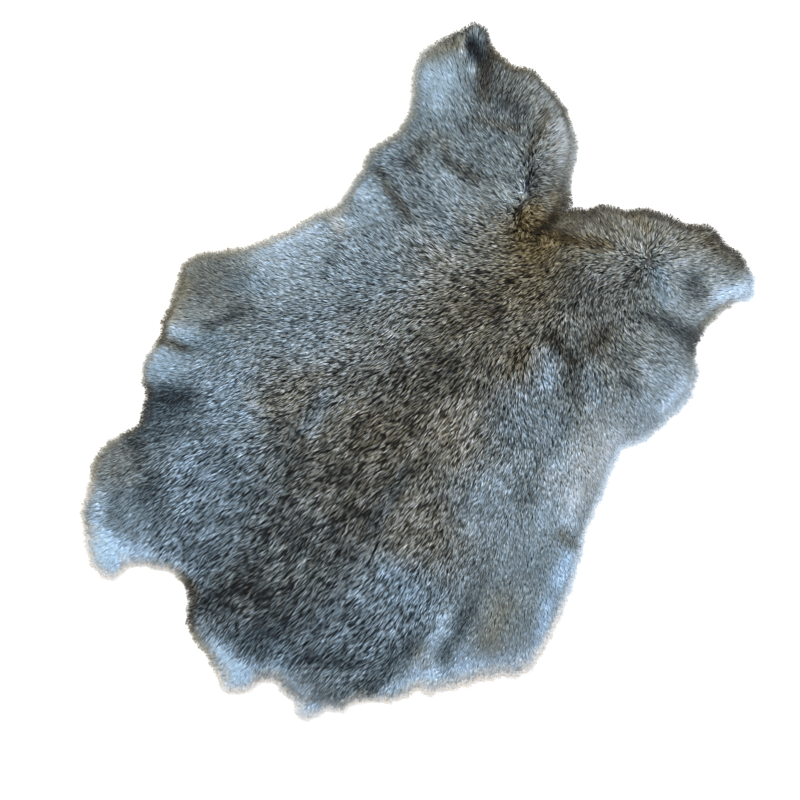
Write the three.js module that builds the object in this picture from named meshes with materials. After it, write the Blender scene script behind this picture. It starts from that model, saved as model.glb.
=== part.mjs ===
// Rabbit skin pelt lying fur side up: one tanned skin with its pile, made as one lumpy slab that
// ends in short locks all round its rim. Millimetres. +Y runs along the back toward the neck and
// +X to the right as seen from above. The flat underside of the skin lies on z = 0.
import * as THREE from 'three';

// Pile: how deep the fur stands over the skin
const BACK_PILE = 16;
const FLANK_PILE = 11.5;
const BACKBONE_X = 14;
const BACK_HALF_WIDTH = 75;
const LEAST_PILE = 3;
const RIM_LUMP_SHARE = 0.4;

// Rim: the pile falls away over RIM_FALL, and the skin's curl over CURL_FALL
const RIM_FALL = 27;
const CURL_FALL = 22;
const ROOT_INSET = 3.2;
const GAP_HEIGHT = 2.1;
const TIP_HEIGHT = 0.9;
const TIP_REACH = 0.45;
const GAP_DEPTH = 0.5;
const TAILWARD_LEAN = 0.7;
const UNDERSIDE_STEP = 0.75;

// How unlike its neighbours a lock is: least and most of its reach, gap and place between gaps
const REACH_RANGE = { least: 0.2, most: 1.7, stride: 0.618 };
const GAP_RANGE = { least: 0.5, most: 1.4, stride: 0.382 };
const PLACE_RANGE = { least: 0.32, most: 0.68, stride: 0.755 };

// Grid over the slab: steps across the back and along it
const COLUMNS = 50;
const ROWS = 72;
const EVENING_PASSES = 14;
const FINE_STEPS = 16;

// Outline of the skin, clockwise as seen from above, as places on the rim. Each edge starts at
// the corner where the edge before it stops.
// Neck edge: left foreleg with its curled tip, the notch of the neck, then the right foreleg
const NECK_EDGE = [
  { x: -97, y: 190 },
  { x: -91, y: 199.5 },
  { x: -86.3, y: 207.4 },
  { x: -78.4, y: 208.3 },
  { x: -74.2, y: 202.8 },
  { x: -65.8, y: 200.3 },
  { x: -54.8, y: 199 },
  { x: -45.8, y: 203.3 },
  { x: -33.8, y: 201.3 },
  { x: -19.8, y: 197.3 },
  { x: -7, y: 189.5 },
  { x: 1.5, y: 182 },
  { x: 5, y: 174 },
  { x: 10, y: 162.5 },
  { x: 14, y: 156.5 },
  { x: 18.5, y: 151.5 },
  { x: 20.5, y: 146.5 },
  { x: 22.5, y: 150.5 },
  { x: 31, y: 154.5 },
  { x: 36, y: 162 },
  { x: 45, y: 164 },
  { x: 57, y: 173 },
  { x: 73, y: 177.5 },
  { x: 86, y: 180.5 },
  { x: 93, y: 185.8 },
  { x: 106.2, y: 182.6 },
  { x: 118.4, y: 181.7 },
  { x: 130.6, y: 175.6 },
];

// Right flank: foreleg, waist, then the belly edge down to the hind leg
const RIGHT_FLANK = [
  { x: 136.3, y: 168 },
  { x: 130.5, y: 160 },
  { x: 126, y: 150 },
  { x: 124, y: 134 },
  { x: 126, y: 121 },
  { x: 135, y: 110 },
  { x: 139.2, y: 94.2 },
  { x: 135.3, y: 78.4 },
  { x: 131, y: 61.3 },
  { x: 123.2, y: 51.2 },
  { x: 124.8, y: 36.5 },
  { x: 129.3, y: 15.6 },
  { x: 133, y: -3 },
  { x: 139.5, y: -20 },
  { x: 145, y: -40 },
  { x: 149.5, y: -60 },
  { x: 150.5, y: -75 },
  { x: 152, y: -83.5 },
  { x: 148.5, y: -92 },
  { x: 137.5, y: -101.5 },
  { x: 127.3, y: -113 },
  { x: 116.3, y: -125.6 },
];

// Tail edge: right hind leg, its small tab, the tail tab, the hollow, then the left hind leg
const TAIL_EDGE = [
  { x: 109.5, y: -133 },
  { x: 104, y: -132.8 },
  { x: 98.7, y: -143.5 },
  { x: 87.7, y: -153.2 },
  { x: 76.8, y: -161.4 },
  { x: 72.5, y: -170.2 },
  { x: 64, y: -174.5 },
  { x: 61.5, y: -183 },
  { x: 55.5, y: -187 },
  { x: 49.5, y: -180.5 },
  { x: 39, y: -179 },
  { x: 29, y: -177 },
  { x: 23, y: -184 },
  { x: 19, y: -192 },
  { x: 11.5, y: -198 },
  { x: 1, y: -192.4 },
  { x: -13, y: -184 },
  { x: -23, y: -181.8 },
  { x: -33, y: -171.6 },
  { x: -39, y: -162 },
  { x: -51, y: -156.8 },
  { x: -65, y: -161 },
  { x: -72, y: -163.8 },
  { x: -79.5, y: -168.3 },
  { x: -80, y: -177 },
  { x: -87, y: -182.5 },
];

// Left flank: hind leg, the lobe that lies over a fold, the belly corner, the waist, the foreleg
const LEFT_FLANK = [
  { x: -99.6, y: -177.5 },
  { x: -105.8, y: -170 },
  { x: -116.8, y: -159 },
  { x: -121.7, y: -145.4 },
  { x: -128.5, y: -124.5 },
  { x: -125, y: -111 },
  { x: -118, y: -98 },
  { x: -122.1, y: -85.4 },
  { x: -125.6, y: -77.8 },
  { x: -132, y: -72.3 },
  { x: -137, y: -56.3 },
  { x: -135.6, y: -49.3 },
  { x: -140.6, y: -36.3 },
  { x: -144.6, y: -18.8 },
  { x: -149, y: -5.2 },
  { x: -143, y: 6.5 },
  { x: -130.5, y: 17.5 },
  { x: -118.5, y: 31.5 },
  { x: -110, y: 44.5 },
  { x: -102, y: 60 },
  { x: -96.5, y: 69.5 },
  { x: -92.5, y: 76 },
  { x: -93.5, y: 88 },
  { x: -93, y: 102 },
  { x: -95.5, y: 111.5 },
  { x: -91, y: 122.5 },
  { x: -87.5, y: 132 },
  { x: -91, y: 150 },
  { x: -98.5, y: 161 },
  { x: -102, y: 177 },
];

// How the rim is at places round it: pile at the foot of the locks, the locks' length, and how
// far the edge of the skin curls up off the surface
const RIM_NOTES = [
  { x: -82, y: 205, pile: 5.5, lock: 2, curl: 5 },
  { x: -60, y: 199, pile: 6, lock: 2.2, curl: 1.5 },
  { x: -20, y: 197, pile: 6.5, lock: 1.8, curl: 2.5 },
  { x: 4, y: 174, pile: 5, lock: 1.6, curl: 1 },
  { x: 20, y: 149, pile: 3, lock: 1.2, curl: 0.4 },
  { x: 60, y: 174, pile: 5.5, lock: 2.2, curl: 0.8 },
  { x: 100, y: 183, pile: 6, lock: 2.2, curl: 1.5 },
  { x: 135, y: 166, pile: 4.5, lock: 3.4, curl: 2.5 },
  { x: 125, y: 130, pile: 5.5, lock: 2, curl: 0.6 },
  { x: 139, y: 95, pile: 5, lock: 3.4, curl: 0.8 },
  { x: 126, y: 40, pile: 5, lock: 2.2, curl: 0.6 },
  { x: 143, y: -35, pile: 5, lock: 2.6, curl: 0.6 },
  { x: 151, y: -82, pile: 4.5, lock: 3.6, curl: 1 },
  { x: 118, y: -124, pile: 4, lock: 3.8, curl: 0.6 },
  { x: 80, y: -157, pile: 5, lock: 2.8, curl: 0.6 },
  { x: 56, y: -186, pile: 3.6, lock: 3.4, curl: 1.4 },
  { x: 11, y: -196, pile: 4, lock: 3.8, curl: 1.2 },
  { x: -30, y: -172, pile: 4.5, lock: 3, curl: 0.6 },
  { x: -51, y: -156, pile: 5, lock: 2.6, curl: 1 },
  { x: -88, y: -181, pile: 4, lock: 3.4, curl: 1.2 },
  { x: -124, y: -135, pile: 5, lock: 2.6, curl: 0.6 },
  { x: -118, y: -97, pile: 5, lock: 1.4, curl: 0.4 },
  { x: -135, y: -62, pile: 7.5, lock: 2.4, curl: 3.2 },
  { x: -147, y: -6, pile: 6.5, lock: 2, curl: 1.2 },
  { x: -108, y: 48, pile: 5, lock: 2.4, curl: 0.6 },
  { x: -93, y: 95, pile: 5.5, lock: 2.2, curl: 0.8 },
  { x: -88, y: 133, pile: 5, lock: 1.6, curl: 0.6 },
  { x: -101, y: 175, pile: 5, lock: 2.4, curl: 1.2 },
];

// Creases and swells of the lying skin: from one place to another, how wide, and how far the
// pile there rises, or sinks where the rise is negative
const FOLDS = [
  { name: 'crease under the flank lobe', x1: -127, y1: -82, x2: -104, y2: -66, reach: 7, rise: -5 },
  { name: 'flank lobe', x1: -131, y1: -66, x2: -110, y2: -52, reach: 7, rise: 3 },
  { name: 'hollow below the lobe', x1: -116, y1: -98, x2: -108, y2: -80, reach: 11, rise: -3.5 },
  { name: 'nick above the lobe', x1: -138, y1: -48, x2: -118, y2: -43, reach: 3.5, rise: -2.5 },
  { name: 'belly corner pleat', x1: -118, y1: -29, x2: -104, y2: -6, reach: 4.5, rise: -3 },
  { name: 'belly corner', x1: -138, y1: -14, x2: -120, y2: -8, reach: 13, rise: 1.6 },
  { name: 'left waist crease', x1: -95, y1: 99, x2: -58, y2: 89, reach: 4.5, rise: -3.2 },
  { name: 'left waist swell', x1: -90, y1: 88, x2: -68, y2: 79, reach: 7, rise: 1.6 },
  { name: 'left waist shade', x1: -75, y1: 130, x2: -70, y2: 118, reach: 6, rise: -2 },
  { name: 'curled tip', x1: -88, y1: 203, x2: -79, y2: 204, reach: 5, rise: 3.5 },
  { name: 'hollow behind the tip', x1: -83, y1: 197, x2: -73, y2: 191, reach: 4.5, rise: -5 },
  { name: 'left foreleg crease', x1: -68, y1: 197, x2: -61, y2: 176, reach: 6, rise: -3 },
  { name: 'left foreleg swell', x1: -86, y1: 182, x2: -78, y2: 158, reach: 9, rise: 2 },
  { name: 'left foreleg hollow', x1: -50, y1: 187, x2: -33, y2: 166, reach: 10, rise: -2.4 },
  { name: 'left foreleg brow', x1: -36, y1: 196, x2: -10, y2: 185, reach: 7, rise: 1.8 },
  { name: 'left shoulder crease', x1: -56, y1: 131, x2: -32, y2: 131, reach: 5, rise: -2 },
  { name: 'left shoulder swell', x1: -52, y1: 119, x2: -28, y2: 117, reach: 9, rise: 1.3 },
  { name: 'left neck dimple', x1: -12, y1: 153, x2: 0, y2: 144, reach: 6, rise: -2.4 },
  { name: 'notch crease', x1: 20.5, y1: 147, x2: 15, y2: 121, reach: 5, rise: -6 },
  { name: 'thin pile of the neck', x1: 24, y1: 146, x2: 26, y2: 132, reach: 6, rise: -4.5 },
  { name: 'right neck swell', x1: 36, y1: 150, x2: 60, y2: 158, reach: 12, rise: 1.2 },
  { name: 'right foreleg dimple', x1: 105, y1: 161, x2: 107, y2: 146, reach: 7.5, rise: -3.6 },
  { name: 'right whorl', x1: 79, y1: 149, x2: 84, y2: 137, reach: 5, rise: -2.2 },
  { name: 'right foreleg crease', x1: 128, y1: 127, x2: 98, y2: 121, reach: 7, rise: -4 },
  { name: 'right shoulder dimple', x1: 80, y1: 99, x2: 76, y2: 86, reach: 7, rise: -2.4 },
  { name: 'right shoulder crease', x1: 50, y1: 77, x2: 72, y2: 73, reach: 5, rise: -2.8 },
  { name: 'right shoulder tail', x1: 72, y1: 73, x2: 86, y2: 56, reach: 5, rise: -2.2 },
  { name: 'right foreleg shade', x1: 101, y1: 94, x2: 108, y2: 80, reach: 7, rise: -2.4 },
  { name: 'right flank groove', x1: 92, y1: 46, x2: 92, y2: -14, reach: 6, rise: -2 },
  { name: 'right flank swell', x1: 110, y1: 44, x2: 112, y2: 6, reach: 10, rise: 1.2 },
  { name: 'right hip groove', x1: 98, y1: -66, x2: 104, y2: -112, reach: 6.5, rise: -3 },
  { name: 'right hip ridge', x1: 93, y1: -92, x2: 96, y2: -126, reach: 5, rise: 1.8 },
  { name: 'right hip swell', x1: 124, y1: -66, x2: 126, y2: -86, reach: 14, rise: 1.6 },
  { name: 'right thigh groove', x1: 87, y1: -110, x2: 79, y2: -149, reach: 7, rise: -3 },
  { name: 'rump crease', x1: 58, y1: -146, x2: 40, y2: -155, reach: 6.5, rise: -4 },
  { name: 'tail root hollow', x1: -14, y1: -140, x2: -22, y2: -162, reach: 12, rise: -2.6 },
  { name: 'left thigh hollow', x1: -92, y1: -121, x2: -76, y2: -136, reach: 8, rise: -2.2 },
  { name: 'left thigh swell', x1: -96, y1: -156, x2: -84, y2: -166, reach: 13, rise: 1.6 },
  { name: 'back hollow', x1: 25, y1: -34, x2: 29, y2: -72, reach: 6, rise: -1.6 },
  { name: 'withers hollow', x1: 4, y1: 84, x2: -2, y2: 98, reach: 8, rise: -1.6 },
];

// Slow lumps of the pile: distance between crests, the way they run, their shift and rise
const LUMPS = [
  { wave: 17, turn: 24, shift: 0.3, rise: 0.2 },
  { wave: 26, turn: 77, shift: 1.9, rise: 0.35 },
  { wave: 41, turn: 131, shift: 4.2, rise: 0.5 },
  { wave: 67, turn: 168, shift: 2.6, rise: 0.6 },
];

const NECK_CORNER = NECK_EDGE.length;
const HIP_CORNER = NECK_CORNER + RIGHT_FLANK.length;
const THIGH_CORNER = HIP_CORNER + TAIL_EDGE.length;
const outline = [...NECK_EDGE, ...RIGHT_FLANK, ...TAIL_EDGE, ...LEFT_FLANK];
const outlineCurve = new THREE.CatmullRomCurve3(
  outline.map(({ x, y }) => new THREE.Vector3(x, y, 0)),
  true,
  'centripetal',
);

// A place is a row of the outline, or a fraction of the way from it to the next
function rimPoint(place, outward = 0, along = 0) {
  const share = (place / outline.length) % 1;
  const point = outlineCurve.getPoint(share);
  const tangent = outlineCurve.getTangent(share);
  point.x += -tangent.y * outward + tangent.x * along;
  point.y += tangent.x * outward + tangent.y * along;
  return point;
}

// Places that lie evenly spaced along the rim from one row of the outline to another
function evenPlaces(firstRow, lastRow, steps) {
  const fineCount = (lastRow - firstRow) * FINE_STEPS;
  const lengths = [0];
  for (let i = 1; i <= fineCount; i += 1) {
    const from = rimPoint(firstRow + (i - 1) / FINE_STEPS);
    const to = rimPoint(firstRow + i / FINE_STEPS);
    lengths.push(lengths[i - 1] + from.distanceTo(to));
  }
  const places = [];
  let fine = 0;
  for (let step = 0; step < steps; step += 1) {
    const wanted = (lengths[fineCount] * step) / steps;
    while (lengths[fine + 1] < wanted) fine += 1;
    const part = (wanted - lengths[fine]) / (lengths[fine + 1] - lengths[fine]);
    places.push(firstRow + (fine + part) / FINE_STEPS);
  }
  return places;
}

// The rim's pile, lock and curl near a point, from the notes nearest to it
function rimCharacter(x, y) {
  const mix = { pile: 0, lock: 0, curl: 0 };
  let total = 0;
  for (const note of RIM_NOTES) {
    const weight = 1 / ((x - note.x) ** 2 + (y - note.y) ** 2 + 1) ** 2;
    total += weight;
    mix.pile += weight * note.pile;
    mix.lock += weight * note.lock;
    mix.curl += weight * note.curl;
  }
  return { pile: mix.pile / total, lock: mix.lock / total, curl: mix.curl / total };
}

// Distance from a point to the straight line between two others
function distanceToLine(x, y, x1, y1, x2, y2) {
  const dx = x2 - x1;
  const dy = y2 - y1;
  const along = ((x - x1) * dx + (y - y1) * dy) / (dx * dx + dy * dy);
  const nearest = THREE.MathUtils.clamp(along, 0, 1);
  return Math.hypot(x - x1 - dx * nearest, y - y1 - dy * nearest);
}

function foldRise(x, y) {
  let rise = 0;
  for (const fold of FOLDS) {
    const away = distanceToLine(x, y, fold.x1, fold.y1, fold.x2, fold.y2) / fold.reach;
    rise += fold.rise * Math.exp(-away * away);
  }
  return rise;
}

function lumpRise(x, y) {
  let rise = 0;
  for (const lump of LUMPS) {
    const turn = THREE.MathUtils.degToRad(lump.turn);
    const across = x * Math.cos(turn) + y * Math.sin(turn);
    rise += lump.rise * Math.sin((2 * Math.PI * across) / lump.wave + lump.shift);
  }
  return rise;
}

// The rim's stations, clockwise from the left foreleg's corner, each with its node in the grid
function rimStations() {
  const neck = evenPlaces(0, NECK_CORNER, COLUMNS).map((place, i) => ({ place, i, j: ROWS }));
  const right = evenPlaces(NECK_CORNER, HIP_CORNER, ROWS).map(
    (place, step) => ({ place, i: COLUMNS, j: ROWS - step }));
  const tail = evenPlaces(HIP_CORNER, THIGH_CORNER, COLUMNS).map(
    (place, step) => ({ place, i: COLUMNS - step, j: 0 }));
  const left = evenPlaces(THIGH_CORNER, outline.length, ROWS).map(
    (place, step) => ({ place, i: 0, j: step }));
  return [...neck, ...right, ...tail, ...left];
}

const nodeIndex = (i, j) => j * (COLUMNS + 1) + i;

// Top grid: the rim's own nodes, then those inside blended from the four edges and evened out
function topGrid(stations) {
  const grid = new Array((COLUMNS + 1) * (ROWS + 1));
  for (const { place, i, j } of stations) grid[nodeIndex(i, j)] = rimPoint(place, -ROOT_INSET);
  const at = (i, j) => grid[nodeIndex(i, j)];
  const inside = [];
  for (let j = 1; j < ROWS; j += 1) {
    for (let i = 1; i < COLUMNS; i += 1) {
      const u = i / COLUMNS;
      const v = j / ROWS;
      const point = new THREE.Vector3();
      point.addScaledVector(at(i, 0), 1 - v).addScaledVector(at(i, ROWS), v);
      point.addScaledVector(at(0, j), 1 - u).addScaledVector(at(COLUMNS, j), u);
      point.addScaledVector(at(0, 0), -(1 - u) * (1 - v)).addScaledVector(at(COLUMNS, 0), -u * (1 - v));
      point.addScaledVector(at(0, ROWS), -(1 - u) * v).addScaledVector(at(COLUMNS, ROWS), -u * v);
      grid[nodeIndex(i, j)] = point;
      inside.push({ i, j });
    }
  }
  for (let pass = 0; pass < EVENING_PASSES; pass += 1) {
    for (const { i, j } of inside) {
      const mean = at(i - 1, j).clone().add(at(i + 1, j)).add(at(i, j - 1)).add(at(i, j + 1));
      at(i, j).copy(mean.multiplyScalar(1 / 4));
    }
  }
  return grid;
}

// Height of the fur over the surface, from the rim's character, the back's depth and the folds
function pileHeight(x, y, fromRim, rim) {
  const offBack = THREE.MathUtils.smoothstep(Math.abs(x - BACKBONE_X), 0, BACK_HALF_WIDTH);
  const fullPile = THREE.MathUtils.lerp(BACK_PILE, FLANK_PILE, offBack);
  const rounding = Math.sqrt(THREE.MathUtils.smoothstep(fromRim, 0, RIM_FALL));
  const pile = THREE.MathUtils.lerp(rim.pile, fullPile, rounding);
  const lumps = lumpRise(x, y) * THREE.MathUtils.lerp(RIM_LUMP_SHARE, 1, rounding);
  const curl = rim.curl * (1 - THREE.MathUtils.smoothstep(fromRim, 0, CURL_FALL));
  return curl + Math.max(pile + foldRise(x, y) + lumps, LEAST_PILE);
}

function liftGrid(grid, stations) {
  const rimNodes = stations.map(({ i, j }) => grid[nodeIndex(i, j)]);
  for (const point of grid) {
    let fromRim = Infinity;
    for (let k = 0; k < rimNodes.length; k += 1) {
      const from = rimNodes[k];
      const to = rimNodes[(k + 1) % rimNodes.length];
      fromRim = Math.min(fromRim, distanceToLine(point.x, point.y, from.x, from.y, to.x, to.y));
    }
    point.z = pileHeight(point.x, point.y, fromRim, rimCharacter(point.x, point.y));
  }
}

// A value of a range for the lock of that number, far from those of the locks beside it
function uneven({ least, most, stride }, number) {
  return THREE.MathUtils.lerp(least, most, (number * stride) % 1);
}

// Rim ring: a gap at each station and a lock's tip between it and the next, leaning tailward
function lockRing(stations) {
  const ring = [];
  stations.forEach(({ place }, k) => {
    const next = k + 1 < stations.length ? stations[k + 1].place : outline.length;
    const middle = THREE.MathUtils.lerp(place, next, uneven(PLACE_RANGE, k));
    const here = rimPoint(place);
    const there = rimPoint(middle);
    const rimHere = rimCharacter(here.x, here.y);
    const rimThere = rimCharacter(there.x, there.y);
    const headsTail = Math.sign(here.y - rimPoint(next).y);
    const reach = TIP_REACH * rimThere.lock * uneven(REACH_RANGE, k);
    const depth = GAP_DEPTH * rimHere.lock * uneven(GAP_RANGE, k);
    const gap = rimPoint(place, -depth);
    const tip = rimPoint(middle, reach, headsTail * TAILWARD_LEAN);
    gap.z = rimHere.curl + GAP_HEIGHT;
    tip.z = rimThere.curl + TIP_HEIGHT;
    ring.push(gap, tip);
  });
  return ring;
}

// Foot ring: the edge of the flat underside, a little inside each rim station
function footRing(grid, stations) {
  return stations.map(({ i, j }) => {
    const inward = grid[nodeIndex(
      THREE.MathUtils.clamp(i, 1, COLUMNS - 1),
      THREE.MathUtils.clamp(j, 1, ROWS - 1),
    )];
    const foot = grid[nodeIndex(i, j)].clone().lerp(inward, UNDERSIDE_STEP);
    foot.z = 0;
    return foot;
  });
}

function gridFaces() {
  const faces = [];
  for (let j = 0; j < ROWS; j += 1) {
    for (let i = 0; i < COLUMNS; i += 1) {
      const a = nodeIndex(i, j);
      const b = nodeIndex(i + 1, j);
      const c = nodeIndex(i + 1, j + 1);
      const d = nodeIndex(i, j + 1);
      if ((i + j) % 2 === 0) faces.push([a, b, c], [a, c, d]);
      else faces.push([a, b, d], [b, c, d]);
    }
  }
  return faces;
}

function peltGeometry() {
  const stations = rimStations();
  const grid = topGrid(stations);
  liftGrid(grid, stations);
  const ring = lockRing(stations);
  const feet = footRing(grid, stations);
  const ringStart = grid.length;
  const footStart = ringStart + ring.length;
  const faces = gridFaces();
  stations.forEach(({ i, j }, k) => {
    const next = (k + 1) % stations.length;
    const root = nodeIndex(i, j);
    const nextRoot = nodeIndex(stations[next].i, stations[next].j);
    const gap = ringStart + 2 * k;
    const tip = gap + 1;
    const nextGap = ringStart + 2 * next;
    const foot = footStart + k;
    const nextFoot = footStart + next;
    faces.push([root, nextRoot, tip], [root, tip, gap], [nextRoot, nextGap, tip]);
    faces.push([nextFoot, foot, tip], [tip, foot, gap], [nextGap, nextFoot, tip]);
  });
  for (const [a, b, c] of THREE.ShapeUtils.triangulateShape(feet, [])) {
    const facesUp = THREE.ShapeUtils.area([feet[a], feet[b], feet[c]]) > 0;
    faces.push([footStart + a, footStart + (facesUp ? c : b), footStart + (facesUp ? b : c)]);
  }
  const geometry = new THREE.BufferGeometry().setFromPoints([...grid, ...ring, ...feet]);
  geometry.setIndex(faces.flat());
  return geometry;
}

// The origin is under the middle of the pelt's box
function centreOnSurface(geometry) {
  geometry.computeBoundingBox();
  const middle = geometry.boundingBox.getCenter(new THREE.Vector3());
  geometry.translate(-middle.x, -middle.y, -geometry.boundingBox.min.z);
  geometry.computeVertexNormals();
}

const geometry = peltGeometry();
centreOnSurface(geometry);
const fur = new THREE.MeshStandardMaterial({ color: '#6a6a68', roughness: 0.95, metalness: 0 });
const pelt = new THREE.Mesh(geometry, fur);
pelt.name = 'pelt';

const model = new THREE.Group();
model.add(pelt);

export default model;
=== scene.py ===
"""Looks of a rabbit skin pelt that lies fur side up: tanned skin, woolly underfur and banded hair.

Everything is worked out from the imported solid: its top gives the fur's height, its underside the
skin's lie, and its rim the outline. Lengths in the tables are millimetres, and meshes are metres.
"""

import logging
import math
from collections.abc import Callable, Sequence
from dataclasses import dataclass, field
from enum import Enum
from typing import ClassVar, Self

import bmesh
import bpy
import numpy as np
from mathutils import Matrix, Vector
from mathutils.bvhtree import BVHTree


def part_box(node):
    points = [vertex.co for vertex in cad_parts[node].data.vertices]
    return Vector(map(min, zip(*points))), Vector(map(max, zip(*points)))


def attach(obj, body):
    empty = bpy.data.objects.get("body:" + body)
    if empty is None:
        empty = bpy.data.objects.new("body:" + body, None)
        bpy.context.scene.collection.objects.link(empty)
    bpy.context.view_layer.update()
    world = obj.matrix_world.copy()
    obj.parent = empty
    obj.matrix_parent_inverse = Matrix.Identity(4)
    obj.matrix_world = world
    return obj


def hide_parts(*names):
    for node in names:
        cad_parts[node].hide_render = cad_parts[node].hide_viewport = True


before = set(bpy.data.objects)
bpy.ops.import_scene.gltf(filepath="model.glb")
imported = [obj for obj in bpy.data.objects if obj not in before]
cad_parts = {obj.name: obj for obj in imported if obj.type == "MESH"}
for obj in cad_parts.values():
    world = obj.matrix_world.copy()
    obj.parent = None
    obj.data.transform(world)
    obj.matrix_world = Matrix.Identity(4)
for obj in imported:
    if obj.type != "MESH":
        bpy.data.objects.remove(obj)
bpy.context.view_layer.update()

log = logging.getLogger("pelt")

MM = 0.001
NODE = "pelt"
# Where the middle of the pelt's box lies in the tables' own measure, in mm
TABLE_MIDDLE = (1.4, 4.5)


@dataclass(frozen=True)
class Combing:
    """Which way the hair is combed at one place, in degrees: 0 is the neck, 90 the right flank."""

    x: float
    y: float
    heading: float


@dataclass(frozen=True)
class Tint:
    """Colour of the coat around one place.

    warm goes from 0, blue-grey, to 1, brown. light goes from 0, dark, to 1, pale, and a little
    past 1 where nearly every hair is at its palest. tick says how strongly the hairs are banded:
    from 0, plain, to 1, banded all over, and more on the back, where the dark tips lie densest.
    """

    name: str
    x: float
    y: float
    warm: float
    light: float
    tick: float


@dataclass(frozen=True)
class Mark:
    """A streak of the coat along a line: its reach in mm and its shifts of light and warmth. Most
    are the coat's own colour. Those named for a crease, pleat, fold, groove, hollow, dimple or
    shade are painted shade, and those named for a swell, ridge or knob are painted light. Their
    shifts of warmth are the coat's own colour.
    """

    name: str
    start: tuple[float, float]
    end: tuple[float, float]
    reach: float
    light: float
    warm: float = 0.0


@dataclass(frozen=True)
class RimTint:
    """Colour of the fine hairs along the rim at one place, measured as a Tint is."""

    name: str
    x: float
    y: float
    warm: float
    light: float


COMBINGS = [
    Combing(14, 112, 232),
    Combing(0, 105, 246),
    Combing(34, 98, 204),
    Combing(32, 122, 196),
    Combing(0, 70, 220),
    Combing(30, 70, 200),
    Combing(10, 40, 202),
    Combing(32, 40, 182),
    Combing(5, 12, 198),
    Combing(30, 12, 190),
    Combing(-22, 25, 208),
    Combing(12, -22, 195),
    Combing(-15, -32, 196),
    Combing(35, -45, 185),
    Combing(-30, 92, 270),
    Combing(-60, 72, 265),
    Combing(-92, 64, 266),
    Combing(-105, 42, 248),
    Combing(-85, 20, 242),
    Combing(-55, 2, 224),
    Combing(-110, 15, 268),
    Combing(-132, 0, 262),
    Combing(-136, -22, 250),
    Combing(-108, -16, 230),
    Combing(-126, -55, 250),
    Combing(-98, -38, 202),
    Combing(-62, -45, 214),
    Combing(-112, -86, 202),
    Combing(-78, -95, 198),
    Combing(-40, -85, 199),
    Combing(-120, -122, 216),
    Combing(-98, -130, 205),
    Combing(-108, -155, 216),
    Combing(-88, -172, 200),
    Combing(-58, -142, 187),
    Combing(-18, -120, 195),
    Combing(-22, -170, 190),
    Combing(10, -178, 200),
    Combing(20, -80, 185),
    Combing(42, -104, 192),
    Combing(62, -132, 196),
    Combing(55, -175, 194),
    Combing(62, -85, 184),
    Combing(78, -60, 174),
    Combing(98, -108, 174),
    Combing(104, -128, 182),
    Combing(130, -96, 178),
    Combing(118, -60, 160),
    Combing(146, -62, 140),
    Combing(136, -28, 132),
    Combing(110, -25, 152),
    Combing(72, -5, 168),
    Combing(52, 5, 177),
    Combing(92, 12, 155),
    Combing(118, 35, 137),
    Combing(68, 34, 123),
    Combing(58, 62, 144),
    Combing(92, 62, 144),
    Combing(122, 64, 120),
    Combing(134, 92, 98),
    Combing(100, 98, 95),
    Combing(64, 100, 126),
    Combing(52, 118, 178),
    Combing(54, 136, 234),
    Combing(46, 146, 278),
    Combing(38, 152, 300),
    Combing(56, 153, 300),
    Combing(64, 160, 326),
    Combing(70, 136, 204),
    Combing(74, 166, 6),
    Combing(86, 162, 52),
    Combing(88, 140, 134),
    Combing(94, 151, 76),
    Combing(104, 126, 98),
    Combing(112, 148, 56),
    Combing(130, 165, 56),
    Combing(104, 172, 42),
    Combing(4, 148, 74),
    Combing(6, 132, 88),
    Combing(4, 168, 60),
    Combing(-8, 182, 16),
    Combing(-34, 190, 8),
    Combing(-60, 186, 354),
    Combing(-84, 198, 320),
    Combing(-92, 172, 280),
    Combing(-66, 160, 296),
    Combing(-82, 146, 282),
    Combing(-30, 152, 274),
    Combing(-12, 134, 266),
    Combing(-48, 120, 278),
    Combing(-84, 112, 252),
]

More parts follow.
